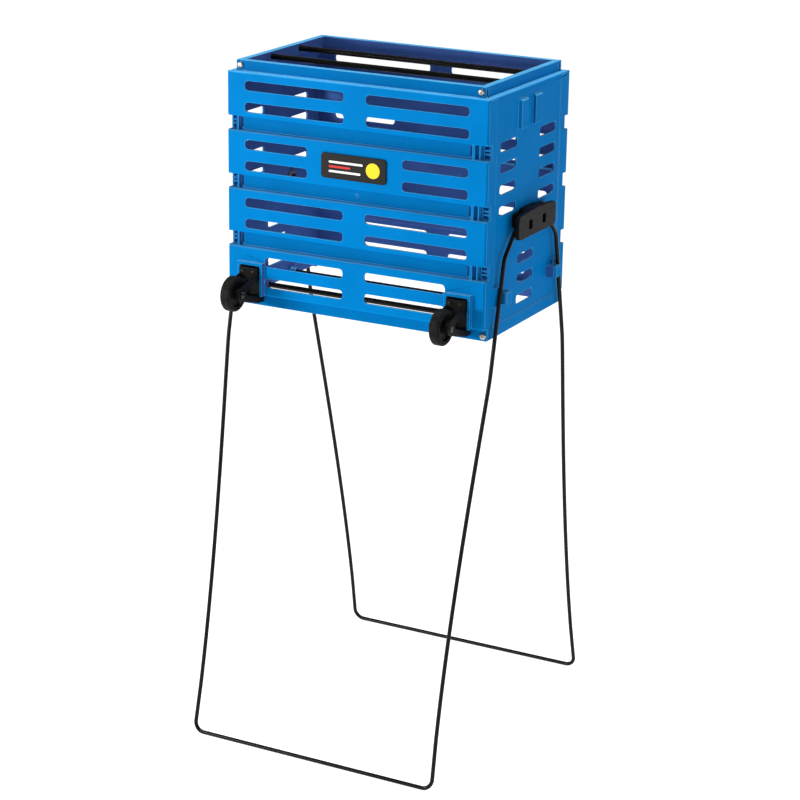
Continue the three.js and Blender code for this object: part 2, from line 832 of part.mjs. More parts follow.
function coverOutline() {
  const shape = new THREE.Shape();
  const side = coverHalfWidth - coverRounding;
  shape.moveTo(-side, -coverDrop);
  shape.absarc(side, coverRounding - coverDrop, coverRounding, -Math.PI / 2, 0);
  shape.absarc(side, coverRise - coverRounding, coverRounding, 0, Math.PI / 2);
  shape.quadraticCurveTo(0, coverRise + 2 * coverArch, -side, coverRise);
  shape.absarc(-side, coverRise - coverRounding, coverRounding, Math.PI / 2, Math.PI);
  shape.absarc(-side, coverRounding - coverDrop, coverRounding, Math.PI, 3 * Math.PI / 2);
  return shape;
}

function pivotHousing() {
  const foot = fieldFace + fitGap;
  const blockTop = coverRise + coverArch;
  const cover = alongX(coverOutline(), housingFace - coverThickness, housingFace);
  const block = alongX(
    roundedRectangle(-blockHalfWidth, blockHalfWidth, -blockDrop, blockTop, blockRounding),
    foot, housingFace - coverThickness / 2);
  const base = alongX(
    roundedRectangle(-basePlateHalfWidth, basePlateHalfWidth, -basePlateHalfHeight,
      basePlateHalfHeight, basePlateHalfHeight / 2),
    foot, wirePlane - wireRadius - fitGap);
  let made = union([cover, block, base]);
  for (const side of [-1, 1]) {
    const middle = side * windowPlace;
    made = made.subtract(box(foot + windowFloor, housingFace + overrun,
      middle - windowWidth / 2, middle + windowWidth / 2,
      -windowDrop - windowHeight / 2, -windowDrop + windowHeight / 2));
    made = made.subtract(pin("x", screwHole, foot - overrun, housingFace, middle, -windowDrop));
    made = made.subtract(
      pin("x", pivotHole, foot - overrun, wirePlane, side * pivotOffset, 0, roundSides));
  }
  return geometryOf(made);
}

// Wheels and brackets: from the middle of the axle

function wheel() {
  const radius = wheelDiameter / 2;
  const half = wheelWidth / 2;
  const bore = axleDiameter / 2 + runningGap;
  const hubHalf = bracketWidth / 2 - cheekThickness - runningGap;
  const hub = hubDiameter / 2;
  const web = webThickness / 2;
  const bead = radius - tyreDepth;
  const halfProfile = [
    [bore, hubHalf], [hub, hubHalf], [hub, web], [bead, web],
    [bead + treadRounding / 2, half], [radius - treadRounding, half], [radius, half - treadRounding],
  ];
  const mirrored = halfProfile.map(([r, place]) => [r, -place]).reverse();
  return turned([...halfProfile, ...mirrored, halfProfile[0]], wheelSides);
}

// Headed axle along X, with its head on the outer cheek
function axle() {
  const radius = axleDiameter / 2;
  const head = axleHeadDiameter / 2;
  const seat = bracketWidth / 2 + fitGap;
  const tip = -(bracketWidth / 2 + axleHeadThickness + fitGap);
  const crown = axleHeadThickness / 2;
  return turned([
    [0, tip - crown], [radius - crown, tip - crown], [radius, tip], [radius, seat], [head, seat],
    [head, seat + crown], [head - crown, seat + axleHeadThickness], [0, seat + axleHeadThickness],
  ], roundSides);
}

// Push-on cap at the tip of the axle
function axleCap() {
  const bore = axleDiameter / 2 + fitGap / 2;
  const rim = axleHeadDiameter / 2;
  return turned([
    [bore, 0], [rim, 0], [rim, -axleHeadThickness / 2], [rim - axleHeadThickness / 2, -axleHeadThickness],
    [bore, -axleHeadThickness], [bore, 0],
  ], roundSides);
}

// One cheek in (y, z) from the axle: an arm from the head block and one from the foot block
function cheekOutline() {
  const floor = wheelReach + stepDepth - fitGap;
  const front = wheelReach - bracketStandOut;
  const top = bracketTop - wheelRise;
  const footTop = footBlockRise + footBlockHeight - wheelRise;
  const footFront = floor - footBlockReach;
  const points = [
    [floor, top], [front, top], [front, top - shoulderDrop],
  ];
  for (let step = 0; step <= bossSteps; step += 1) {
    const angle = Math.PI / 2 + Math.PI * step / bossSteps;
    points.push([axleBossRadius * Math.cos(angle), axleBossRadius * Math.sin(angle)]);
  }
  points.push([footFront, footBlockRise - wheelRise], [floor, footBlockRise - wheelRise]);
  points.push([floor, footTop], [footFront, footTop]);
  points.push([axleBossRadius + armWeb / 2, -armWeb / 2], [axleBossRadius + armWeb / 2, armWeb / 2]);
  points.push([front, top - headBlockHeight], [floor, top - headBlockHeight]);
  return outline(points);
}

function wheelBracket() {
  const half = bracketWidth / 2;
  const floor = wheelReach + stepDepth - fitGap;
  const front = wheelReach - bracketStandOut;
  const top = bracketTop - wheelRise;
  const footBottom = footBlockRise - wheelRise;
  const parts = [-1, 1].map((side) => {
    const ends = [side * (half - cheekThickness), side * half].sort((a, b) => a - b);
    return alongX(cheekOutline(), ends[0], ends[1]);
  });
  parts.push(box(-half, half, front, floor, top - headBlockHeight, top));
  parts.push(box(-half, half, floor - backPlateThickness, floor, footBottom, top));
  parts.push(box(-half, half, floor - footBlockReach, floor, footBottom, footBottom + footBlockHeight));
  let made = union(parts);
  made = made.subtract(
    pin("x", axleDiameter / 2 + fitGap, -half - overrun, half + overrun, 0, 0, roundSides));
  for (const hand of [-1, 1]) {
    made = made.subtract(pin("y", bracketScrewShank / 2 + fitGap, 0, floor + overrun,
      hand * bracketScrewSpread, top - bracketScrewDrop));
  }
  return geometryOf(made);
}

// Rods and screws

function rod(halfReach) {
  const crown = rodRadius / 4;
  return turned([
    [0, -halfReach], [rodRadius - crown, -halfReach], [rodRadius, -halfReach + crown],
    [rodRadius, halfReach - crown], [rodRadius - crown, halfReach], [0, halfReach],
  ], roundSides);
}

// Round-headed screw along X: its head is at +X over its seat
function screw(headDiameter, shankDiameter, length) {
  const head = headDiameter / 2;
  const height = headDiameter * headHeightShare;
  const crown = head * headCrownShare;
  const shank = shankDiameter / 2;
  return turned([
    [0, -length], [shank, shank - length], [shank, fitGap], [head, fitGap],
    [head, fitGap + height / 2], [crown, fitGap + height], [0, fitGap + height],
  ], smallSides);
}

// Assembly

const group = new THREE.Group();

function place(parent, name, geometry, material, x, y, z, turn = 0) {
  const mesh = new THREE.Mesh(geometry, material);
  mesh.name = name;
  mesh.position.set(x, y, z);
  mesh.rotation.z = turn;
  parent.add(mesh);
  return mesh;
}

const sides = [["left", -1], ["right", 1]];
const faces = [["front", -1], ["back", 1]];
const basket = new THREE.Group();
basket.position.z = standHeight;
group.add(basket);

place(basket, "front_wall", longWall(true), blue, 0, -halfDepth, 0);
place(basket, "back_wall", longWall(false), blue, 0, halfDepth, 0, Math.PI);

for (const [hand, side] of sides) {
  const turn = side > 0 ? 0 : Math.PI;
  place(basket, `${hand}_end_wall`, endWall(), blue, 0, 0, 0, turn);
  place(basket, `${hand}_pivot_housing`, pivotHousing(), blackPlastic, 0, 0, pivotRise, turn);
  place(basket, `${hand}_wheel_bracket`, wheelBracket(), blackPlastic,
    side * wheelPlace, -halfDepth - wheelReach, wheelRise);
  place(basket, `${hand}_axle`, axle(), steel,
    side * wheelPlace, -halfDepth - wheelReach, wheelRise, turn);
  place(basket, `${hand}_axle_cap`, axleCap(), steel,
    side * (wheelPlace - bracketWidth / 2 - fitGap), -halfDepth - wheelReach, wheelRise, turn);
  place(basket, `${hand}_wheel`, wheel(), rubber,
    side * wheelPlace, -halfDepth - wheelReach, wheelRise);
}

const topRodReach = rimEnd - wall - fitGap;
const bottomRodReach = halfLength - wall - fitGap;
for (const [face, side] of faces) {
  place(basket, `top_${face}_rod`, rod(topRodReach), blackWire,
    0, side * topRodOffset, basketHeight - topRodDrop);
  place(basket, `bottom_${face}_rod`, rod(bottomRodReach), blackWire,
    0, side * bottomRodOffset, bottomRodRise);
}

for (const [face, side] of faces) {
  const frame = new THREE.Group();
  frame.position.set(0, side * pivotOffset, pivotHeight);
  frame.rotation.z = side > 0 ? Math.PI : 0;
  group.add(frame);
  place(frame, `${face}_wire_frame`, wireFrame(), blackWire, 0, 0, 0);
  const seat = fieldFace - wall - fitGap;
  for (const [hand, end] of sides) {
    const turn = end * side < 0 ? Math.PI : 0;
    const direction = turn === 0 ? 1 : -1;
    const outer = direction * (seat - retainerThickness);
    place(frame, `${face}_frame_${hand}_retainer`, stubRetainer(), steel, outer, 0, 0, turn);
  }
}

const cornerScrew = screw(cornerScrewHead, cornerScrewShank, cornerScrewLength);
const rimScrew = screw(cornerScrewHead, cornerScrewShank, cornerScrewLength + rimWidth - wall);
for (const [face, side] of faces) {
  const turn = side * Math.PI / 2;
  const seat = side * (halfDepth - stepDepth);
  for (const [hand, end] of sides) {
    place(basket, `${face}_${hand}_top_screw`, rimScrew, steel,
      end * (rimEnd - topScrewInset), seat, basketHeight - rimHeight / 2, turn);
    place(basket, `${face}_${hand}_bottom_screw`, cornerScrew, steel,
      end * (halfLength - bottomScrewInset), seat, bottomScrewRise, turn);
  }
}

const housingScrew = screw(housingScrewHead, cornerScrewShank, housingScrewLength);
const bracketScrew = screw(bracketScrewHead, bracketScrewShank, bracketScrewLength);
for (const [hand, side] of sides) {
  const turn = side > 0 ? 0 : Math.PI;
  for (const [face, end] of faces) {
    place(basket, `${hand}_housing_${face}_screw`, housingScrew, steel,
      side * (fieldFace + fitGap + windowFloor), end * windowPlace, pivotRise - windowDrop, turn);
  }
  bracketScrewPlaces(side).forEach((x, index) => {
    const end = index === 0 ? "left" : "right";
    place(basket, `${hand}_bracket_${end}_screw`, bracketScrew, steel,
      x, -halfDepth - bracketStandOut, bracketTop - bracketScrewDrop, -Math.PI / 2);
  });
}

export default group;
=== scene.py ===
"""Looks of a tennis ball hopper: a slatted plastic basket on two fold-over wire frames.

The file is laid out as an add-on and run as a script. Metres, +Z up. The basket's length runs
along X and the wheels face -Y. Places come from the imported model's nodes and joints.
"""

import json
import math

import bmesh
import bpy
from mathutils import Matrix, Vector


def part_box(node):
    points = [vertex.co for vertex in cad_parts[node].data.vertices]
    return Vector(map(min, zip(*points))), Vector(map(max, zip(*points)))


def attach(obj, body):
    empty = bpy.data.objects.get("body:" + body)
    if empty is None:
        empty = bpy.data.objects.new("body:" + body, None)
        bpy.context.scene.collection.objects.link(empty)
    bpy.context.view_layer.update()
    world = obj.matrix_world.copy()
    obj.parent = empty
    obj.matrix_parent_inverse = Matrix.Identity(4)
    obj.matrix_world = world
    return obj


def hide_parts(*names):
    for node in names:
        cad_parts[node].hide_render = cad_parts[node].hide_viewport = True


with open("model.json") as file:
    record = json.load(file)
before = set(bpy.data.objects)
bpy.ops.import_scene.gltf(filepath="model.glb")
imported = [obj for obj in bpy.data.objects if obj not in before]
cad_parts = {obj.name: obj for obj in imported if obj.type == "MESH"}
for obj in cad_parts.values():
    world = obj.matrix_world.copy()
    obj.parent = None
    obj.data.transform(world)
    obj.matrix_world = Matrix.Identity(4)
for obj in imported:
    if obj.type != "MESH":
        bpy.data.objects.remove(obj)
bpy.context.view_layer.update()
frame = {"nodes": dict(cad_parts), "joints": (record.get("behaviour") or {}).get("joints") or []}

bl_info = {
    "name": "Tennis ball hopper",
    "version": (1, 0, 0),
    "blender": (4, 5, 0),
    "location": "View3D > Sidebar > Hopper",
    "description": "Dresses the hopper's moulded walls, wire frames, rods, wheels and fasteners",
    "category": "Object",
}

MM = 0.001
HANDS = ("left", "right")
FACES = ("front", "back")
WALLS = ("front_wall", "back_wall", "left_end_wall", "right_end_wall")

# Facets
RING_SIDES = 48
WIRE_SIDES = 20
SCREW_SIDES = 32
BEND_STEPS = 12
EASE_STEPS = 4
CORNER_STEPS = 8

# Steps of the curve that draws a leg in, and those of them that lie before the foot's bend
PULL_STEPS = 40
LEG_STEPS = 36

# Share of a profile's stretch that the rounding of one of its ends may take
EASE_SHARE = 0.45

# Smoothing of the moulded pieces
MERGE_DISTANCE = 0.002 * MM
EDGE_ANGLE = math.radians(28)
CREASE_ANGLE = math.radians(32)
EDGE_SEGMENTS = 2

# Depths of the relief in the finishes
GRAIN_DEPTH = 0.02 * MM
STREAK_DEPTH = 0.03 * MM
RUBBER_DEPTH = 0.05 * MM
SINK_DEPTH = 0.12 * MM

# Where a face begins and has come to count as turned one way: cosines of its normal
FACING_START = 0.5
FACING_END = 0.9

# Where a face begins and has come to count as turned inwards: places times normals, in metres
INWARD_START = -0.03
INWARD_END = -0.08

# Front and back faces that lie nearer to the middle than this are the grooves' floors, which are painted
# darker as painted shade
GROOVE_DEPTH = 107 * MM


# Sizes and colours that a user may change

def length(name, description, default):
    """A length property in metres."""
    return bpy.props.FloatProperty(
        name=name, description=description, default=default, min=0, unit="LENGTH", subtype="DISTANCE")


def share(name, description, default):
    """A property without a unit."""
    return bpy.props.FloatProperty(name=name, description=description, default=default, min=0)


def colour(name, description, default):
    """A linear colour property."""
    return bpy.props.FloatVectorProperty(
        name=name, description=description, default=default, size=3, min=0, max=1, subtype="COLOR")


class HopperWireSizes(bpy.types.PropertyGroup):
    """Course of one half of a wire frame, from its pivot to the middle of its foot"""

    thickness: length("Wire", "Diameter of the wire", 5.2 * MM)
    stub_tip: length("Stub tip", "Where the stub ends, from the basket's middle", 170.6 * MM)
    plane: length("Wire plane", "Where the legs run, from the basket's middle", 186 * MM)
    foot_half_length: length("Foot", "Half the length of the foot", 173.3 * MM)
    foot_spread: length("Spread", "From the basket's middle to the foot", 216.7 * MM)
    leg_slope: share("Leg slope", "Outward run of a leg for each metre down", 0.2182)
    knee_slope: share("Knee slope", "Outward run from the pivot to the knee", 1)
    stub_bend: length("Stub bend", "Radius of the bend at the pivot", 3 * MM)
    knee_bend: length("Knee bend", "Radius of the bend at the knee", 25 * MM)
    foot_bend: length("Foot bend", "Radius of the bend at the foot", 13 * MM)
    straight_run: length("Straight run", "How far below the pivot the legs stay in their plane", 177 * MM)
    pull: length("Pull", "Length of the first handle of the curve that draws the legs in", 35 * MM)
    pull_in: length("Draw", "How far the curve's second handle lies inside the plane", 21 * MM)
    pull_height: length("Draw height", "Height of the curve's second handle", 200 * MM)


class HopperFinishSizes(bpy.types.PropertyGroup):
    """Edges and small forms of the moulded and turned pieces"""

    wall_edge: length("Wall edges", "Rounding of the basket's edges", 0.45 * MM)
    fitting_edge: length("Fitting edges", "Rounding of the housings' and brackets' edges", 0.5 * MM)
    turned_edge: length("Turned edges", "Rounding of the edges of turned pieces", 0.4 * MM)
    tread_edge: length("Tread edges", "Rounding of the tyres' shoulders", 2.2 * MM)
    tyre_depth: length("Tyre", "Depth of the tyre over its rim", 4.2 * MM)
    hub: length("Hub", "Diameter of the wheel's hub", 14 * MM)
    web: length("Web", "Thickness of the wheel's web", 6 * MM)
    recess_width: length("Recess width", "Width of the cross recess's arms", 1.15 * MM)
    recess_reach: length("Recess reach", "Reach of the cross recess's arms", 1.9 * MM)
    recess_depth: length("Recess depth", "Depth of the cross recess", 1.5 * MM)


class HopperBadgeSizes(bpy.types.PropertyGroup):
    """The plain badge on the front"""

    width: length("Width", "Width of the badge", 90 * MM)
    height: length("Height", "Height of the badge", 31.4 * MM)
    thickness: length("Thickness", "How far the badge stands proud", 2 * MM)
    rounding: length("Corners", "Radius of the badge's corners", 4.5 * MM)
    middle: length("Height of its middle", "Height of the badge's middle over the ground", 750.5 * MM)
    ink: length("Motif", "How far the motifs stand proud of the plate", 0.15 * MM)


class HopperColours(bpy.types.PropertyGroup):
    """Colours of the finishes"""

    blue: colour("Basket", "Moulded blue plastic", (0.0, 0.168, 0.47))
    # Painted shade: the inner faces are painted a darker violet blue for the shade inside the basket
    inside_shade_blue: colour("Basket inside", "Blue plastic of the inner faces", (0.048, 0.108, 0.34))
    # Painted highlight: the bevelled edges take a paler blue for light caught on their rounding
    edge_highlight_blue: colour("Basket edges", "Blue plastic, rubbed pale along its edges", (0.012, 0.26, 0.60))
    # Painted light: the upward faces are painted paler for the light and sheen from above
    blue_top: colour("Basket tops", "Blue plastic of the upward faces, bleached", (0.075, 0.36, 0.66))
    black: colour("Fittings", "Moulded black plastic", (0.0054, 0.0052, 0.005))
    coat: colour("Wire", "Coat of the wires and rods", (0.003, 0.0028, 0.0026))
    rubber: colour("Tyres", "Rubber of the tyres", (0.0055, 0.0053, 0.005))
    zinc: colour("Fasteners", "Zinc plated steel", (0.40, 0.38, 0.35))
    dark: colour("Dark fasteners", "Blackened steel of the axles and bracket screws", (0.055, 0.048, 0.038))
    plate: colour("Badge", "Badge plate", (0.0085, 0.008, 0.0072))
    white: colour("White motif", "White print", (0.86, 0.86, 0.84))
    yellow: colour("Yellow motif", "Yellow print", (0.80, 0.62, 0.02))
    red: colour("Red motif", "Red print", (0.60, 0.03, 0.03))
    floor: colour("Floor", "Studio floor", (0.55, 0.55, 0.55))


# Materials: patterns lie on each piece's own object coordinates

def pattern(tree, scale, detail, stretch=(1, 1, 1)):
    """Value of a noise of so many features a metre, drawn out where the stretch is small."""
    place = tree.nodes.new("ShaderNodeTexCoord")
    mapping = tree.nodes.new("ShaderNodeMapping")
    mapping.inputs["Scale"].default_value = stretch
    made = tree.nodes.new("ShaderNodeTexNoise")
    made.inputs["Scale"].default_value = scale
    made.inputs["Detail"].default_value = detail
    tree.links.new(place.outputs["Object"], mapping.inputs["Vector"])
    tree.links.new(mapping.outputs["Vector"], made.inputs["Vector"])
    return made.outputs["Fac"]


def ranged(tree, value, low, high, start=0.3, end=0.7):
    """The value between start and end, laid between low and high."""
    made = tree.nodes.new("ShaderNodeMapRange")
    for socket, number in (("From Min", start), ("From Max", end), ("To Min", low), ("To Max", high)):
        made.inputs[socket].default_value = number
    tree.links.new(value, made.inputs["Value"])
    return made.outputs["Result"]


def mixed(tree, value, first, second):
    """A colour between two, given as colours or as sockets, by a value from 0 to 1."""
    made = tree.nodes.new("ShaderNodeMix")
    made.data_type = "RGBA"
    low, high = (next(socket for socket in made.inputs if socket.name == name and socket.type == "RGBA")
                 for name in ("A", "B"))
    for socket, tone in ((low, first), (high, second)):
        if isinstance(tone, bpy.types.NodeSocket):
            tree.links.new(tone, socket)
        else:
            socket.default_value = (*tone, 1)
    tree.links.new(value, made.inputs["Factor"])
    return next(socket for socket in made.outputs if socket.type == "RGBA")


def varied(tree, value, base, low, high):
    """The base colour times low to high, by a value from 0 to 1."""
    return mixed(tree, value, shaded(base, low), shaded(base, high))


# Mask of the inner faces, which are painted darker as painted shade
def turned_in(tree):
    """1 on faces that look towards the model's upright axis, 0 on the others."""
    place = tree.nodes.new("ShaderNodeTexCoord")
    level = tree.nodes.new("ShaderNodeVectorMath")
    level.operation = "MULTIPLY"
    level.inputs[1].default_value = (1, 1, 0)
    facing = tree.nodes.new("ShaderNodeVectorMath")
    facing.operation = "DOT_PRODUCT"
    tree.links.new(place.outputs["Object"], level.inputs[0])
    tree.links.new(level.outputs["Vector"], facing.inputs[0])
    tree.links.new(place.outputs["Normal"], facing.inputs[1])
    return ranged(tree, facing.outputs["Value"], 1, 0, INWARD_END, INWARD_START)


# Mask of the upward faces, which are painted paler as painted light
def upward(tree):
    """1 on faces that look up, 0 on the others."""
    place = tree.nodes.new("ShaderNodeTexCoord")
    split = tree.nodes.new("ShaderNodeSeparateXYZ")
    tree.links.new(place.outputs["Normal"], split.inputs["Vector"])
    return ranged(tree, split.outputs["Z"], 0, 1, FACING_START, FACING_END)


# Mask of the grooves' floors, which are painted darker as painted shade
def recessed(tree, depth):
    """1 on front and back faces that lie nearer to the middle than the depth, 0 on the others."""
    place = tree.nodes.new("ShaderNodeTexCoord")
    sizes = []
    for output in ("Object", "Normal"):
        split = tree.nodes.new("ShaderNodeSeparateXYZ")
        size = tree.nodes.new("ShaderNodeMath")
        size.operation = "ABSOLUTE"
        tree.links.new(place.outputs[output], split.inputs["Vector"])
        tree.links.new(split.outputs["Y"], size.inputs[0])
        sizes.append(size.outputs["Value"])
    both = tree.nodes.new("ShaderNodeMath")
    both.operation = "MULTIPLY"
    tree.links.new(ranged(tree, sizes[0], 1, 0, depth, depth + MM), both.inputs[0])
    tree.links.new(ranged(tree, sizes[1], 0, 1, FACING_START, FACING_END), both.inputs[1])
    return both.outputs["Value"]


def relief(tree, shader, layers):
    """Bumps of (value, strength, depth in metres), one over the other."""
    under = None
    for value, strength, depth in layers:
        made = tree.nodes.new("ShaderNodeBump")
        made.inputs["Strength"].default_value = strength
        made.inputs["Distance"].default_value = depth
        tree.links.new(value, made.inputs["Height"])
        if under:
            tree.links.new(under, made.inputs["Normal"])
        under = made.outputs["Normal"]
    tree.links.new(under, shader.inputs["Normal"])


def shaded(base, factor):
    """A colour made lighter or darker."""
    return [min(channel * factor, 1) for channel in base]


def started(name, base, specular=0.5, metallic=0):
    """A material, its tree and its shader."""
    made = bpy.data.materials.new(name)
    made.use_nodes = True
    shader = made.node_tree.nodes["Principled BSDF"]
    shader.inputs["Base Color"].default_value = (*base, 1)
    shader.inputs["Specular IOR Level"].default_value = specular
    shader.inputs["Metallic"].default_value = metallic
    return made, made.node_tree, shader


def moulded_blue(name, base, specular):
    """Satin polypropylene with grain, flow clouds and handling marks.

    The outside varies a little in tone. The grooves' floors are painted darker and the inner faces
    a darker violet blue, as painted shade, and the upward faces are painted paler, as painted light from
    above.
    """
    made, tree, shader = started(name, base, specular)
    colours = bpy.context.scene.hopper_colours
    clouds = ranged(tree, pattern(tree, scale=22, detail=4), 0, 1)
    outer_tone = varied(tree, clouds, base, low=0.95, high=1.05)
    # Painted shade: the grooves' floors are painted darker than the outside
    groove_shade = varied(tree, clouds, base, low=0.74, high=0.82)
    outside = mixed(tree, recessed(tree, GROOVE_DEPTH), outer_tone, groove_shade)
    # Painted shade: the inner faces take the darker violet blue
    inside = varied(tree, clouds, colours.inside_shade_blue, low=0.9, high=1.1)
    # Painted light: the upward faces take the paler blue
    tops = varied(tree, clouds, colours.blue_top, low=0.92, high=1.04)
    upright = mixed(tree, turned_in(tree), outside, inside)
    tree.links.new(mixed(tree, upward(tree), upright, tops), shader.inputs["Base Color"])
    marks = pattern(tree, scale=90, detail=5, stretch=(1, 1, 0.25))
    tree.links.new(ranged(tree, marks, low=0.36, high=0.5), shader.inputs["Roughness"])
    sink = pattern(tree, scale=45, detail=2)
    grain = pattern(tree, scale=2200, detail=2)
    relief(tree, shader, [(sink, 0.25, SINK_DEPTH), (grain, 0.25, GRAIN_DEPTH)])
    return made


def moulded_black(base):
    """Satin black plastic with fine upright streaks."""
    made, tree, shader = started("moulded_black", base, specular=0.05)
    streaks = pattern(tree, scale=1500, detail=3, stretch=(1, 1, 0.04))
    tone = varied(tree, ranged(tree, streaks, 0, 1), base, low=1, high=1.9)
    tree.links.new(tone, shader.inputs["Base Color"])
    marks = pattern(tree, scale=160, detail=4)
    tree.links.new(ranged(tree, marks, low=0.34, high=0.5), shader.inputs["Roughness"])
    grain = pattern(tree, scale=2600, detail=2)
    relief(tree, shader, [(streaks, 0.2, STREAK_DEPTH), (grain, 0.25, GRAIN_DEPTH)])
    return made


def coated_wire(base):
    """Smooth black coat over steel wire, with a light orange peel."""
    made, tree, shader = started("coated_wire", base, specular=0.12)
    clouds = ranged(tree, pattern(tree, scale=60, detail=3), 0, 1)
    tree.links.new(varied(tree, clouds, base, low=1, high=2.6), shader.inputs["Base Color"])
    gloss = pattern(tree, scale=90, detail=3)
    tree.links.new(ranged(tree, gloss, low=0.2, high=0.27), shader.inputs["Roughness"])
    peel = pattern(tree, scale=500, detail=2)
    relief(tree, shader, [(peel, 0.02, GRAIN_DEPTH)])
    return made


def tyre_rubber(base):
    """Matt rubber, dusty in patches."""
    made, tree, shader = started("tyre_rubber", base, specular=0.06)
    dust = ranged(tree, pattern(tree, scale=240, detail=5), 0, 1, start=0.35, end=0.75)
    tree.links.new(varied(tree, dust, base, low=1, high=2.6), shader.inputs["Base Color"])
    wear = pattern(tree, scale=500, detail=4)
    tree.links.new(ranged(tree, wear, low=0.5, high=0.72), shader.inputs["Roughness"])
    grain = pattern(tree, scale=1400, detail=3)
    relief(tree, shader, [(grain, 0.3, RUBBER_DEPTH)])
    return made


def plated_steel(name, base):
    """Zinc or black oxide on steel, with fine turning marks and cloudy passivation."""
    made, tree, shader = started(name, base, metallic=1)
    clouds = ranged(tree, pattern(tree, scale=420, detail=4), 0, 1)
    tree.links.new(varied(tree, clouds, base, low=0.82, high=1), shader.inputs["Base Color"])
    wear = pattern(tree, scale=900, detail=3)
    tree.links.new(ranged(tree, wear, low=0.2, high=0.38), shader.inputs["Roughness"])
    turning = pattern(tree, scale=3000, detail=2, stretch=(0.2, 1, 1))
    relief(tree, shader, [(turning, 0.15, GRAIN_DEPTH)])
    return made


def badge_film(name, base, roughness):
    """Smooth printed film with a little unevenness."""
    made, tree, shader = started(name, base, specular=0.12)
    clouds = ranged(tree, pattern(tree, scale=300, detail=3), 0, 1)
    tree.links.new(varied(tree, clouds, base, low=0.94, high=1.04), shader.inputs["Base Color"])
    wear = pattern(tree, scale=700, detail=3)
    worn = ranged(tree, wear, low=roughness * 0.85, high=roughness * 1.15)
    tree.links.new(worn, shader.inputs["Roughness"])
    peel = pattern(tree, scale=900, detail=2)
    relief(tree, shader, [(peel, 0.1, GRAIN_DEPTH)])
    return made


def studio_floor(base):
    """Plain pale floor of frosted sheet, lit from beneath."""
    made, tree, shader = started("studio_floor", base, specular=0)
    clouds = ranged(tree, pattern(tree, scale=6, detail=2), 0, 1)
    tree.links.new(varied(tree, clouds, base, low=0.995, high=1), shader.inputs["Base Color"])
    shader.inputs["Roughness"].default_value = 0.8
    shader.inputs["Emission Color"].default_value = (1, 1, 1, 1)
    shader.inputs["Emission Strength"].default_value = 0.88
    return made


MAKERS = {
    "blue": lambda base: moulded_blue("moulded_blue", base, specular=0.008),
    # Painted highlight: the material of the bevelled edges, paler than the basket
    "edge_highlight_blue": lambda base: moulded_blue("moulded_blue_edge", base, specular=0.35),
    "black": moulded_black,
    "coat": coated_wire,
    "rubber": tyre_rubber,
    "zinc": lambda base: plated_steel("zinc_plate", base),
    "dark": lambda base: plated_steel("black_oxide", base),
    "plate": lambda base: badge_film("badge_plate_film", base, roughness=0.4),
    "white": lambda base: badge_film("white_print", base, roughness=0.45),
    "yellow": lambda base: badge_film("yellow_print", base, roughness=0.45),
    "red": lambda base: badge_film("red_print", base, roughness=0.45),
    "floor": studio_floor,
}
MADE = {}


def finish(name):
    """The material of that name among the colours, made once."""
    if name not in MADE:
        MADE[name] = MAKERS[name](list(getattr(bpy.context.scene.hopper_colours, name)))
    return MADE[name]


# Places

def middle(node):
    """Middle of a node's box."""
    low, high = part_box(node)
    return (low + high) / 2


def extent(node):
    """Size of a node's box."""
    low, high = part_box(node)
    return high - low


def pivot(face):
    """Middle of a wire frame's hinge line."""
    joint = next(j for j in frame["joints"] if j["name"] == f"{face}_frame_fold")
    return Vector(joint["pos_m"])


# Meshes

def new_object(name, mesh):
    """An object in the scene, at the origin."""
    made = bpy.data.objects.new(name, mesh)
    bpy.context.scene.collection.objects.link(made)
    return made


def mesh_of(name, work):
    """A mesh from a bmesh, with its faces pointing outwards."""
    bmesh.ops.recalc_face_normals(work, faces=work.faces)
    mesh = bpy.data.meshes.new(name)
    work.to_mesh(mesh)
    work.free()
    return mesh


def eased(points, radius, closed=False):
    """An outline of points in a plane with its corners rounded."""
    made = []
    for index, corner in enumerate(points):
        if not closed and index in (0, len(points) - 1):
            made.append(corner)
            continue
        before = points[index - 1]
        after = points[(index + 1) % len(points)]
        ends = []
        for other in (before, after):
            run = math.dist(corner, other)
            step = min(radius, run * EASE_SHARE) / run
            ends.append([a + (b - a) * step for a, b in zip(corner, other)])
        for step in range(EASE_STEPS + 1):
            t = step / EASE_STEPS
            made.append([(1 - t) ** 2 * a + 2 * t * (1 - t) * b + t * t * c
                         for a, b, c in zip(ends[0], corner, ends[1])])
    return made


def turned(name, profile, sides=RING_SIDES, closed=False):
    """A profile of (place, radius) turned about X: closed for a ring, else from axis to axis."""
    work = bmesh.new()
    rings = []
    for place, radius in profile:
        if radius == 0:
            rings.append([work.verts.new((place, 0, 0))])
            continue
        turns = [2 * math.pi * index / sides for index in range(sides)]
        rings.append([work.verts.new((place, radius * math.cos(t), radius * math.sin(t))) for t in turns])
    pairs = list(zip(rings, rings[1:]))
    if closed:
        pairs.append((rings[-1], rings[0]))
    for first, second in pairs:
        for index in range(sides):
            corners = [first[index % len(first)], first[(index + 1) % sides % len(first)],
                       second[(index + 1) % sides % len(second)], second[index % len(second)]]
            work.faces.new(list(dict.fromkeys(corners)))
    return new_object(name, mesh_of(name, work))


def prism(name, outline, low, high, axis="y"):
    """An outline run between two places along X or Y; it is drawn in the other two axes."""
    def corner(a, b, place):
        return (place, a, b) if axis == "x" else (a, place, b)
    work = bmesh.new()
    ends = [[work.verts.new(corner(a, b, place)) for a, b in outline] for place in (low, high)]
    work.faces.new(ends[0])
    work.faces.new(ends[1][::-1])
    count = len(outline)
    for index in range(count):
        after = (index + 1) % count
        work.faces.new([ends[0][index], ends[1][index], ends[1][after], ends[0][after]])
    return new_object(name, mesh_of(name, work))


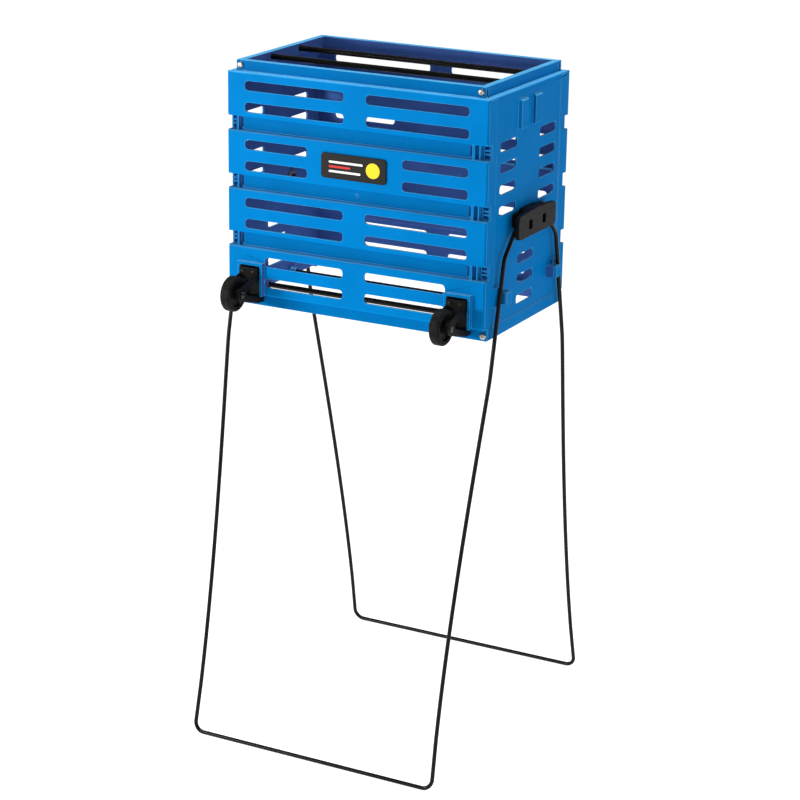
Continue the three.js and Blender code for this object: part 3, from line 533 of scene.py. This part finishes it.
def rounded_outline(width, height, radius, centre):
    """A rectangle with round corners round a centre."""
    made = []
    corners = [(1, -1), (1, 1), (-1, 1), (-1, -1)]
    for index, (across, up) in enumerate(corners):
        for step in range(CORNER_STEPS + 1):
            angle = (index - 1 + step / CORNER_STEPS) * math.pi / 2
            made.append((centre[0] + across * (width / 2 - radius) + radius * math.cos(angle),
                         centre[1] + up * (height / 2 - radius) + radius * math.sin(angle)))
    return made


def disc_outline(radius, centre, sides=RING_SIDES):
    """A circle round a centre."""
    turns = [2 * math.pi * index / sides for index in range(sides)]
    return [(centre[0] + radius * math.cos(t), centre[1] + radius * math.sin(t)) for t in turns]


# Geometry Nodes

def new_tree(name, inputs):
    """A tree with a geometry going in and out, and the named inputs."""
    tree = bpy.data.node_groups.new(name, "GeometryNodeTree")
    tree.interface.new_socket(name="Geometry", in_out="INPUT", socket_type="NodeSocketGeometry")
    for label, kind in inputs:
        tree.interface.new_socket(name=label, in_out="INPUT", socket_type=kind)
    tree.interface.new_socket(name="Geometry", in_out="OUTPUT", socket_type="NodeSocketGeometry")
    return tree, tree.nodes.new("NodeGroupInput"), tree.nodes.new("NodeGroupOutput")


def attribute_value(tree, name, kind):
    """Value of a point attribute that the carrier holds."""
    made = tree.nodes.new("GeometryNodeInputNamedAttribute")
    made.data_type = kind
    made.inputs["Name"].default_value = name
    return made.outputs["Attribute"]


def close_tree(tree, source, result, shape):
    """Smooths the shape up to its creases, realizes it and gives it its material."""
    link = tree.links.new
    smooth = tree.nodes.new("GeometryNodeSetShadeSmooth")
    crease = tree.nodes.new("GeometryNodeSetShadeSmooth")
    crease.domain = "EDGE"
    crease.inputs["Shade Smooth"].default_value = False
    angle = tree.nodes.new("GeometryNodeInputMeshEdgeAngle")
    steep = tree.nodes.new("FunctionNodeCompare")
    steep.data_type = "FLOAT"
    steep.operation = "GREATER_THAN"
    steep.inputs["B"].default_value = CREASE_ANGLE
    realize = tree.nodes.new("GeometryNodeRealizeInstances")
    paint = tree.nodes.new("GeometryNodeSetMaterial")
    link(shape, smooth.inputs["Geometry"])
    link(smooth.outputs["Geometry"], crease.inputs["Geometry"])
    link(angle.outputs["Unsigned Angle"], steep.inputs["A"])
    link(steep.outputs["Result"], crease.inputs["Selection"])
    link(crease.outputs["Geometry"], realize.inputs["Geometry"])
    link(realize.outputs["Geometry"], paint.inputs["Geometry"])
    link(source.outputs["Material"], paint.inputs["Material"])
    link(paint.outputs["Geometry"], result.inputs["Geometry"])
    return tree


def wire_tree():
    """A round wire along the carrier's stations, thinned where they say so."""
    tree, source, result = new_tree("wire_along_stations", [
        ("Radius", "NodeSocketFloat"), ("Sides", "NodeSocketInt"), ("Material", "NodeSocketMaterial")])
    link = tree.links.new
    course = tree.nodes.new("GeometryNodeMeshToCurve")
    section = tree.nodes.new("GeometryNodeCurvePrimitiveCircle")
    sweep = tree.nodes.new("GeometryNodeCurveToMesh")
    sweep.inputs["Fill Caps"].default_value = True
    link(source.outputs["Geometry"], course.inputs["Mesh"])
    link(source.outputs["Radius"], section.inputs["Radius"])
    link(source.outputs["Sides"], section.inputs["Resolution"])
    link(course.outputs["Curve"], sweep.inputs["Curve"])
    link(section.outputs["Curve"], sweep.inputs["Profile Curve"])
    link(attribute_value(tree, "fullness", "FLOAT"), sweep.inputs["Scale"])
    return close_tree(tree, source, result, sweep.outputs["Mesh"])


def recess_tree():
    """Cuts a recess into a screw's head."""
    tree, source, result = new_tree("recess_in_head", [
        ("Recess", "NodeSocketObject"), ("Material", "NodeSocketMaterial")])
    link = tree.links.new
    cutter = tree.nodes.new("GeometryNodeObjectInfo")
    cut = tree.nodes.new("GeometryNodeMeshBoolean")
    cut.operation = "DIFFERENCE"
    link(source.outputs["Recess"], cutter.inputs["Object"])
    link(source.outputs["Geometry"], cut.inputs["Mesh 1"])
    link(cutter.outputs["Geometry"], cut.inputs["Mesh 2"])
    return close_tree(tree, source, result, cut.outputs["Mesh"])


def seat_tree():
    """Copies of one piece on the carrier's points, with its X along each point's facing."""
    tree, source, result = new_tree("copies_on_seats", [
        ("Piece", "NodeSocketObject"), ("Material", "NodeSocketMaterial")])
    link = tree.links.new
    piece = tree.nodes.new("GeometryNodeObjectInfo")
    turn = tree.nodes.new("FunctionNodeAlignRotationToVector")
    turn.axis = "X"
    copies = tree.nodes.new("GeometryNodeInstanceOnPoints")
    link(source.outputs["Piece"], piece.inputs["Object"])
    link(attribute_value(tree, "facing", "FLOAT_VECTOR"), turn.inputs["Vector"])
    link(source.outputs["Geometry"], copies.inputs["Points"])
    link(piece.outputs["Geometry"], copies.inputs["Instance"])
    link(turn.outputs["Rotation"], copies.inputs["Rotation"])
    return close_tree(tree, source, result, copies.outputs["Instances"])


def carrier(points, joined=False, **attributes):
    """Points that a tree works from, joined in a row or loose, with attributes of floats or vectors."""
    mesh = bpy.data.meshes.new("carrier")
    edges = [(index, index + 1) for index in range(len(points) - 1)] if joined else []
    mesh.from_pydata([tuple(point) for point in points], edges, [])
    for name, values in attributes.items():
        if isinstance(values[0], (int, float)):
            mesh.attributes.new(name, "FLOAT", "POINT").data.foreach_set("value", values)
        else:
            flat = [channel for value in values for channel in value]
            mesh.attributes.new(name, "FLOAT_VECTOR", "POINT").data.foreach_set("vector", flat)
    return new_object("carrier", mesh)


def grown(name, start, tree, **values):
    """The plain mesh that a tree makes from a starting object, which goes."""
    modifier = start.modifiers.new(tree.name, "NODES")
    modifier.node_group = tree
    for item in tree.interface.items_tree:
        if item.in_out == "INPUT" and item.name in values:
            modifier[item.identifier] = values[item.name]
    view = bpy.context.evaluated_depsgraph_get()
    mesh = bpy.data.meshes.new_from_object(start.evaluated_get(view))
    mesh.name = name
    start.modifiers.remove(modifier)
    bpy.data.objects.remove(start)
    return new_object(name, mesh)


def dressed(piece, body, slot, *nodes):
    """Puts a made piece on its body, in place of the nodes that it stands for."""
    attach(piece, body)
    if nodes:
        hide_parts(*nodes)


def painted(piece, material):
    """Gives a made piece one material and smooth faces with creases."""
    piece.data.materials.append(material)
    piece.data.shade_smooth()
    piece.data.set_sharp_from_angle(angle=CREASE_ANGLE)


def softened(node, edge, material, edge_highlight_material=None):
    """Gives a node that stays rounded edges and its material, and its edges a paler material of their own
    as a painted highlight.
    """
    piece = frame["nodes"][node]
    for place in piece.material_slots:
        place.material = material
    piece.data.shade_smooth()
    weld = piece.modifiers.new("one skin", "WELD")
    weld.merge_threshold = MERGE_DISTANCE
    bevel = piece.modifiers.new("soft edges", "BEVEL")
    bevel.width = edge
    bevel.segments = EDGE_SEGMENTS
    bevel.limit_method = "ANGLE"
    bevel.angle_limit = EDGE_ANGLE
    bevel.use_clamp_overlap = False
    bevel.loop_slide = False
    # Painted highlight: the bevel's new faces take the paler edge material
    if edge_highlight_material:
        piece.data.materials.append(edge_highlight_material)
        bevel.material = len(piece.material_slots) - 1
    normals = piece.modifiers.new("flat faces stay flat", "WEIGHTED_NORMAL")
    normals.keep_sharp = True


# Courses and profiles

def bend(before, corner, after, radius):
    """Stations round a bend at a corner between two neighbours."""
    back = (before - corner).normalized()
    ahead = (after - corner).normalized()
    half = back.angle(ahead) / 2
    reach = radius / math.tan(half)
    centre = corner + (back + ahead).normalized() * (radius / math.sin(half))
    start = corner + back * reach - centre
    end = corner + ahead * reach - centre
    sweep = start.angle(end)
    made = []
    for step in range(BEND_STEPS + 1):
        t = step / BEND_STEPS
        share = (start * math.sin((1 - t) * sweep) + end * math.sin(t * sweep)) / math.sin(sweep)
        made.append(centre + share)
    return made


def half_wire(face, sizes):
    """Stations of the right half of a wire frame, from the stub's tip to the foot."""
    hinge = pivot(face)
    side = -1 if hinge.y < 0 else 1
    radius = sizes.thickness / 2
    offset = abs(hinge.y)
    at_pivot = sizes.foot_spread - sizes.leg_slope * (hinge.z - radius) - offset
    knee = at_pivot / (sizes.knee_slope - sizes.leg_slope)

    def station(x, out, drop):
        return Vector((x, side * (offset + out), hinge.z - drop))

    def on_leg(drop):
        return at_pivot + sizes.leg_slope * drop

    foot_drop = hinge.z - radius
    tip = station(sizes.stub_tip, 0, 0)
    elbow = station(sizes.plane, 0, 0)
    knee_corner = station(sizes.plane, knee * sizes.knee_slope, knee)
    leg_top = station(sizes.plane, on_leg(sizes.straight_run), sizes.straight_run)
    pulled = sizes.straight_run + sizes.pull
    drawn = hinge.z - sizes.pull_height
    handles = [leg_top, station(sizes.plane, on_leg(pulled), pulled),
               station(sizes.plane - sizes.pull_in, on_leg(drawn), drawn),
               station(sizes.foot_half_length, sizes.foot_spread - offset, foot_drop)]
    leg = []
    for step in range(LEG_STEPS + 1):
        t = step / PULL_STEPS
        weights = [(1 - t) ** 3, 3 * t * (1 - t) ** 2, 3 * t * t * (1 - t), t ** 3]
        leg.append(sum((handle * weight for handle, weight in zip(handles, weights)), Vector()))
    foot = handles[-1]
    centre = Vector((0, foot.y, foot.z))
    return [tip, *bend(tip, elbow, knee_corner, sizes.stub_bend),
            *bend(elbow, knee_corner, leg_top, sizes.knee_bend), *leg,
            *bend(leg[-1], foot, centre, sizes.foot_bend)]


# A screw's head: its height as a share of its diameter, and the crown's (height, radius) shares
HEAD_HEIGHT_SHARE = 0.28
CROWN_SHARES = ((1, 1), (0.45, 0.97), (0.1, 0.66), (0, 0))


def screw_blank(name, head, shank, long, sizes, material):
    """Round-headed screw with a cross recess, its head's crown at 0 and its shank towards -X."""
    radius = head / 2
    tall = head * HEAD_HEIGHT_SHARE
    crown = [(-tall * height, radius * width) for height, width in CROWN_SHARES]
    profile = [(-long, 0), (-long + shank / 2, shank / 2), (-tall, shank / 2), *crown]
    rounded = eased(profile, sizes.turned_edge)
    blank = turned("blank", rounded, SCREW_SIDES)
    arm = sizes.recess_width / 2
    reach = sizes.recess_reach
    cross = [(arm, arm), (arm, reach), (-arm, reach), (-arm, arm), (-reach, arm), (-reach, -arm),
             (-arm, -arm), (-arm, -reach), (arm, -reach), (arm, -arm), (reach, -arm), (reach, arm)]
    recess = prism("recess", cross, -sizes.recess_depth, tall, "x")
    made = grown(name, blank, recess_tree(), Recess=recess, Material=material)
    bpy.data.objects.remove(recess)
    return made


def seated(name, piece, nodes, body, slot, material, facing_of, seat_of):
    """Copies of a piece at the seats of the nodes, which they stand for. The piece itself goes."""
    points = [seat_of(node) for node in nodes]
    facings = [facing_of(node) for node in nodes]
    made = grown(name, carrier(points, facing=facings), seat_tree(), Piece=piece, Material=material)
    bpy.data.objects.remove(piece)
    dressed(made, body, slot, *nodes)
    return made


# Operators

class HOPPER_OT_stage(bpy.types.Operator):
    """Set up the floor, the lights and the camera"""

    bl_idname = "hopper.set_stage"
    bl_label = "Set the stage"

    floor_reach = 30.0
    # Name, place, size, watts and tone of each light
    lights = (
        ("front_light", (-1.15, -1.45, 0.86), (0.7, 0.3), 28, (1, 1, 0.97)),
        ("side_light", (3.0, 0.6, 0.7), (1.4, 0.6), 11.5, (0.86, 0.86, 1)),
        ("top_light", (0, 0, 3.2), (0.5, 0.5), 58, (1, 1, 1)),
    )
    aim = Vector((0, 0, 0.6))
    yaw, pitch, roll = (math.radians(angle) for angle in (27.69, 18.04, 0.87))
    camera_place = Vector((1.4155, -2.6829, 1.4107))
    focal_share = 2466.1 / 800
    sensor = 36
    clip_range = (0.05, 100)
    # The backdrop is white below the first height and has the world's strength above the second
    world_strength = 0.2
    backdrop_rise = (0.1, 0.22)

    def execute(self, context):
        reach = self.floor_reach
        outline = [(-reach, -reach), (reach, -reach), (reach, reach), (-reach, reach)]
        mesh = bpy.data.meshes.new("floor")
        mesh.from_pydata([(x, y, 0) for x, y in outline], [], [(0, 1, 2, 3)])
        floor = new_object("floor", mesh)
        floor.data.materials.append(finish("floor"))
        for name, place, size, power, tone in self.lights:
            self.add_light(name, Vector(place), size, power, tone)
        self.add_world(context)
        self.add_camera(context)
        context.scene.view_settings.view_transform = "Standard"
        return {"FINISHED"}

    def add_light(self, name, place, size, power, tone):
        """A soft box at a place, aimed at the object."""
        data = bpy.data.lights.new(name, "AREA")
        data.shape = "RECTANGLE"
        data.size, data.size_y = size
        data.energy = power
        data.color = tone
        light = new_object(name, data)
        light.location = place
        light.rotation_euler = (place - self.aim).to_track_quat("Z", "Y").to_euler()
        light.visible_camera = False

    def add_world(self, context):
        """A white backdrop low down and dim even light above it."""
        world = bpy.data.worlds.new("studio")
        world.use_nodes = True
        sky = world.node_tree.nodes["Background"]
        tree = world.node_tree
        place = tree.nodes.new("ShaderNodeTexCoord")
        split = tree.nodes.new("ShaderNodeSeparateXYZ")
        tree.links.new(place.outputs["Generated"], split.inputs["Vector"])
        strength = ranged(tree, split.outputs["Z"], 1, self.world_strength, *self.backdrop_rise)
        tree.links.new(strength, sky.inputs["Strength"])
        sky.inputs["Color"].default_value = (1, 1, 1, 1)
        context.scene.world = world

    def add_camera(self, context):
        """The photograph's view."""
        data = bpy.data.cameras.new("camera")
        data.sensor_width = self.sensor
        data.lens = self.focal_share * self.sensor
        data.clip_start, data.clip_end = self.clip_range
        camera = new_object("camera", data)
        a, e = self.yaw, self.pitch
        back = Vector((math.sin(a) * math.cos(e), -math.cos(a) * math.cos(e), math.sin(e)))
        level = Vector((math.cos(a), math.sin(a), 0))
        rise = back.cross(level)
        right = math.cos(self.roll) * level + math.sin(self.roll) * rise
        up = -math.sin(self.roll) * level + math.cos(self.roll) * rise
        turn = Matrix((right, up, back)).transposed()
        camera.matrix_world = Matrix.Translation(self.camera_place) @ turn.to_4x4()
        context.scene.camera = camera


class HOPPER_OT_basket(bpy.types.Operator):
    """Dress the four moulded walls"""

    bl_idname = "hopper.dress_basket"
    bl_label = "Basket walls"

    def execute(self, context):
        for node in WALLS:
            # The walls' edges take the paler blue as a painted highlight
            softened(node, context.scene.hopper_finish.wall_edge, finish("blue"), finish("edge_highlight_blue"))
        return {"FINISHED"}


class HOPPER_OT_pockets(bpy.types.Operator):
    """Close the corner pockets of the grooves behind their fingers"""

    bl_idname = "hopper.close_pockets"
    bl_label = "Groove pockets"

    groove_count = 3
    groove_pitch = 73.6 * MM
    first_low = 632.7 * MM
    # A liner's height, and its reach along X and along Y from the basket's middle
    height = 16.6 * MM
    start, end = 168.8 * MM, 171.5 * MM
    front, back = 98.1 * MM, 100.7 * MM
    corner_share = 1 / 6

    def execute(self, context):
        across = (self.front + self.back) / 2
        points = []
        for groove in range(self.groove_count):
            rise = self.first_low + groove * self.groove_pitch + self.height / 2
            points += [(x * self.end, y * across, rise) for x in (-1, 1) for y in (-1, 1)]
        facings = [(math.copysign(1, point[0]), 0, 0) for point in points]
        deep = self.back - self.front
        outline = rounded_outline(deep, self.height, deep * self.corner_share, (0, 0))
        liner = prism("liner", outline, self.start - self.end, 0, "x")
        made = grown("pocket_liners", carrier(points, facing=facings), seat_tree(),
                     Piece=liner, Material=finish("blue"))
        bpy.data.objects.remove(liner)
        dressed(made, "basket", "blue_plastic")
        return {"FINISHED"}


class HOPPER_OT_fittings(bpy.types.Operator):
    """Dress the pivot housings and the wheel brackets"""

    bl_idname = "hopper.dress_fittings"
    bl_label = "Housings and brackets"

    def execute(self, context):
        for hand in HANDS:
            for node in (f"{hand}_pivot_housing", f"{hand}_wheel_bracket"):
                softened(node, context.scene.hopper_finish.fitting_edge, finish("black"))
        return {"FINISHED"}


class HOPPER_OT_wires(bpy.types.Operator):
    """Bend the two wire frames"""

    bl_idname = "hopper.bend_wires"
    bl_label = "Wire frames"

    def execute(self, context):
        sizes = context.scene.hopper_wire
        tree = wire_tree()
        for face in FACES:
            right = half_wire(face, sizes)
            left = [Vector((-station.x, station.y, station.z)) for station in reversed(right)]
            stations = right + left
            start = carrier(stations, joined=True, fullness=[1.0] * len(stations))
            wire = grown(f"{face}_wire", start, tree,
                         Radius=sizes.thickness / 2, Sides=WIRE_SIDES, Material=finish("coat"))
            dressed(wire, f"{face}_frame", "black_wire", f"{face}_wire_frame")
        return {"FINISHED"}


class HOPPER_OT_rods(bpy.types.Operator):
    """Turn the four rolling rods"""

    bl_idname = "hopper.turn_rods"
    bl_label = "Rolling rods"

    crown_share = 0.25

    def execute(self, context):
        tree = wire_tree()
        for level in ("top", "bottom"):
            for face in FACES:
                node = f"{level}_{face}_rod"
                centre, size = middle(node), extent(node)
                radius = size.y / 2
                half = size.x / 2
                crown = radius * self.crown_share
                places = [-half, crown - half, half - crown, half]
                stations = [centre + Vector((place, 0, 0)) for place in places]
                fullness = [1 - self.crown_share, 1, 1, 1 - self.crown_share]
                rod = grown(f"{node}_bar", carrier(stations, joined=True, fullness=fullness), tree,
                            Radius=radius, Sides=RING_SIDES, Material=finish("coat"))
                dressed(rod, f"rod_{level}_{face}", "black_wire", node)
        return {"FINISHED"}


class HOPPER_OT_wheels(bpy.types.Operator):
    """Turn the tyres, rims, axles and caps"""

    bl_idname = "hopper.turn_wheels"
    bl_label = "Wheels and axles"

    tread_half = 7.1 * MM
    # How far the wheel's bore lies inside the axle cap's edge
    bore_inset = 1.65 * MM
    # How far the rim's inner side lies under its outer side, at its lips and at the web
    lip_drop = 1.6 * MM
    web_drop = 2.6 * MM
    # How far the axle's head reaches over its shank, and the cap's clearance on the shank
    head_reach = 2 * MM
    cap_clearance = 0.15 * MM
    tip_share = 0.7
    tip_length_share = 0.3
    head_shares = ((1, 1), (0.4, 0.95), (0, 0.6), (0, 0))
    cap_slope_share = 0.5

    def execute(self, context):
        sizes = context.scene.hopper_finish
        for hand in HANDS:
            self.add_wheel(hand, sizes)
        self.add_axles(sizes)
        return {"FINISHED"}

    def add_wheel(self, hand, sizes):
        """A tyre on a webbed rim."""
        node = f"{hand}_wheel"
        centre, size = middle(node), extent(node)
        radius = size.z / 2
        tread_half = self.tread_half
        hub_half = size.x / 2
        hub = sizes.hub / 2
        bore = extent(f"{hand}_axle_cap").z / 2 - self.bore_inset
        rim = radius - sizes.tyre_depth
        web = sizes.web / 2
        tyre_profile = eased([
            (-tread_half, radius - sizes.tread_edge), (-tread_half + sizes.tread_edge, radius),
            (tread_half - sizes.tread_edge, radius), (tread_half, radius - sizes.tread_edge),
            (tread_half - sizes.turned_edge, rim), (-tread_half + sizes.turned_edge, rim),
        ], sizes.turned_edge * 2, closed=True)
        lip = tread_half - sizes.turned_edge * 2
        lip_inside = rim - self.lip_drop
        web_outside = rim - self.web_drop
        rim_profile = eased([
            (-lip, rim), (lip, rim), (lip, lip_inside), (web, web_outside), (web, hub),
            (hub_half, hub), (hub_half, bore), (-hub_half, bore), (-hub_half, hub),
            (-web, hub), (-web, web_outside), (-lip, lip_inside),
        ], sizes.turned_edge, closed=True)
        for name, profile, material in (
                (f"{hand}_tyre", tyre_profile, finish("rubber")),
                (f"{hand}_rim", rim_profile, finish("black"))):
            piece = turned(name, profile, closed=True)
            piece.data.transform(Matrix.Translation(centre))
            painted(piece, material)
            dressed(piece, f"wheel_{hand}", "wheel_rubber", node)

    def add_axles(self, sizes):
        """Headed axles and the caps pushed on their tips."""
        axles = [f"{hand}_axle" for hand in HANDS]
        caps = [f"{hand}_axle_cap" for hand in HANDS]
        size = extent(axles[0])
        head, thick = size.z / 2, extent(caps[0]).x
        shank = head - self.head_reach
        long = size.x
        crown = [(-thick * height, head * width) for height, width in self.head_shares]
        axle = turned("axle", eased([
            (-long, 0), (-long, shank * self.tip_share), (shank * self.tip_length_share - long, shank),
            (-thick, shank), *crown,
        ], sizes.turned_edge))
        bore = shank + self.cap_clearance
        slope = thick * self.cap_slope_share
        cap = turned("cap", eased([
            (0, bore), (0, head), (-slope, head), (-thick, head - slope), (-thick, bore),
        ], sizes.turned_edge, closed=True), closed=True)

        def outward(node):
            return (-1, 0, 0) if node.startswith("left") else (1, 0, 0)

        def axle_seat(node):
            low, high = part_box(node)
            centre = (low + high) / 2
            return (low.x if node.startswith("left") else high.x, centre.y, centre.z)

        def cap_seat(node):
            low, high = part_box(node)
            centre = (low + high) / 2
            return (high.x - thick if node.startswith("left") else low.x + thick, centre.y, centre.z)

        seated("axle_pins", axle, axles, "basket", "zinc_steel", finish("dark"), outward, axle_seat)
        seated("axle_caps", cap, caps, "basket", "zinc_steel", finish("dark"), outward, cap_seat)


class HOPPER_OT_fasteners(bpy.types.Operator):
    """Seat the screws and the wire retainers"""

    bl_idname = "hopper.seat_fasteners"
    bl_label = "Screws and retainers"

    shank = 3 * MM
    bracket_shank = 2.4 * MM
    retainer_bore_radius = 2.95 * MM
    retainer_shares = ((0, 1), (0.4, 1), (1, 0.62))

    def execute(self, context):
        sizes = context.scene.hopper_finish
        rim = [f"{face}_{hand}_top_screw" for face in FACES for hand in HANDS]
        sill = [f"{face}_{hand}_bottom_screw" for face in FACES for hand in HANDS]
        housing = [f"{hand}_housing_{face}_screw" for hand in HANDS for face in FACES]
        bracket = [f"{hand}_bracket_{end}_screw" for hand in HANDS for end in HANDS]
        for name, nodes, shank, tone in (
                ("rim_screws", rim, self.shank, "zinc"),
                ("sill_screws", sill, self.shank, "zinc"),
                ("bracket_screws", bracket, self.bracket_shank, "dark")):
            size = extent(nodes[0])
            piece = screw_blank("screw", size.x, shank, size.y, sizes, finish(tone))
            seated(name, piece, nodes, "basket", "zinc_steel", finish(tone), self.facing_y, self.crown_y)
        size = extent(housing[0])
        piece = screw_blank("screw", size.y, self.shank, size.x, sizes, finish("zinc"))
        seated("housing_screws", piece, housing, "basket", "zinc_steel", finish("zinc"),
               self.facing_x, self.crown_x)
        self.add_retainers(sizes)
        return {"FINISHED"}

    @staticmethod
    def facing_y(node):
        """Way that a screw of the front or the back looks."""
        return (0, math.copysign(1, middle(node).y), 0)

    @staticmethod
    def crown_y(node):
        """Top of the head of a screw of the front or the back."""
        low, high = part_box(node)
        centre = (low + high) / 2
        return (centre.x, low.y if centre.y < 0 else high.y, centre.z)

    @staticmethod
    def facing_x(node):
        """Way that a piece of an end wall looks."""
        return (math.copysign(1, middle(node).x), 0, 0)

    @staticmethod
    def crown_x(node):
        """Outer end of a piece of an end wall."""
        low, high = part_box(node)
        centre = (low + high) / 2
        return (low.x if centre.x < 0 else high.x, centre.y, centre.z)

    def add_retainers(self, sizes):
        """Domed push-on retainers on the stubs, inside the end walls."""
        for face in FACES:
            nodes = [f"{face}_frame_{hand}_retainer" for hand in HANDS]
            size = extent(nodes[0])
            outer, thick = size.z / 2, size.x
            bore = self.retainer_bore_radius
            dome = [(-thick * height, outer * width) for height, width in self.retainer_shares]
            piece = turned("retainer", eased([
                (0, bore), *dome, (-thick, bore),
            ], sizes.turned_edge, closed=True), closed=True)
            seated(f"{face}_retainers", piece, nodes, f"{face}_frame", "zinc_steel", finish("zinc"),
                   self.facing_x, self.crown_x)


class HOPPER_OT_badge(bpy.types.Operator):
    """Fix the plain badge on the front"""

    bl_idname = "hopper.fix_badge"
    bl_label = "Badge"

    plate_edge = 0.5 * MM
    plate_edge_segments = 3
    ball_place = 27 * MM
    ball_radius = 9.5 * MM
    bar_height = 2.6 * MM
    bar_start = -34 * MM
    bar_corner_share = 0.45
    # Tone, end and rise of each bar, from the badge's middle
    bars = (
        ("white", 13 * MM, 5.2 * MM),
        ("red", -4 * MM, -0.6 * MM),
        ("white", 10 * MM, -6.4 * MM),
    )

    def execute(self, context):
        sizes = context.scene.hopper_badge
        face = -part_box("back_wall")[1].y
        front = face - sizes.thickness
        centre = (0, sizes.middle)
        outline = rounded_outline(sizes.width, sizes.height, sizes.rounding, centre)
        plate = prism("badge_plate", outline, front, face)
        bevel = plate.modifiers.new("soft edges", "BEVEL")
        bevel.width = self.plate_edge
        bevel.segments = self.plate_edge_segments
        bevel.limit_method = "ANGLE"
        bevel.angle_limit = EDGE_ANGLE
        painted(plate, finish("plate"))
        dressed(plate, "basket", "black_plastic")
        rounding = self.bar_height * self.bar_corner_share
        for index, (tone, end, rise) in enumerate(self.bars):
            place = ((self.bar_start + end) / 2, sizes.middle + rise)
            bar = rounded_outline(end - self.bar_start, self.bar_height, rounding, place)
            self.add_motif(f"badge_bar_{index + 1}", bar, front, sizes.ink, tone)
        ball = disc_outline(self.ball_radius, (self.ball_place, sizes.middle))
        self.add_motif("badge_ball", ball, front, sizes.ink, "yellow")
        return {"FINISHED"}

    def add_motif(self, name, outline, front, ink, tone):
        """A thin raised motif on the plate."""
        motif = prism(name, outline, front - ink, front + ink)
        painted(motif, finish(tone))
        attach(motif, "basket")


class HOPPER_PT_panel(bpy.types.Panel):
    """The hopper's steps and sizes"""

    bl_idname = "HOPPER_PT_panel"
    bl_label = "Tennis ball hopper"
    bl_space_type = "VIEW_3D"
    bl_region_type = "UI"
    bl_category = "Hopper"

    def draw(self, context):
        layout = self.layout
        for operator in OPERATORS:
            layout.operator(operator.bl_idname)
        for attribute in PROPERTY_GROUPS:
            group = getattr(context.scene, attribute)
            section = layout.box()
            for name in group.__annotations__:
                section.prop(group, name)


PROPERTY_GROUPS = {
    "hopper_wire": HopperWireSizes,
    "hopper_finish": HopperFinishSizes,
    "hopper_badge": HopperBadgeSizes,
    "hopper_colours": HopperColours,
}
OPERATORS = (
    HOPPER_OT_stage,
    HOPPER_OT_basket,
    HOPPER_OT_pockets,
    HOPPER_OT_fittings,
    HOPPER_OT_wires,
    HOPPER_OT_rods,
    HOPPER_OT_wheels,
    HOPPER_OT_fasteners,
    HOPPER_OT_badge,
)


def register():
    """Registers the classes and gives the scene its property groups."""
    for kind in (*PROPERTY_GROUPS.values(), *OPERATORS, HOPPER_PT_panel):
        bpy.utils.register_class(kind)
    for attribute, kind in PROPERTY_GROUPS.items():
        setattr(bpy.types.Scene, attribute, bpy.props.PointerProperty(type=kind))


def unregister():
    """Takes the property groups and the classes away."""
    for attribute in PROPERTY_GROUPS:
        delattr(bpy.types.Scene, attribute)
    for kind in (HOPPER_PT_panel, *reversed(OPERATORS), *reversed(PROPERTY_GROUPS.values())):
        bpy.utils.unregister_class(kind)


def main():
    register()
    for operator in OPERATORS:
        group, name = operator.bl_idname.split(".")
        getattr(getattr(bpy.ops, group), name)()


if __name__ == "__main__":
    main()
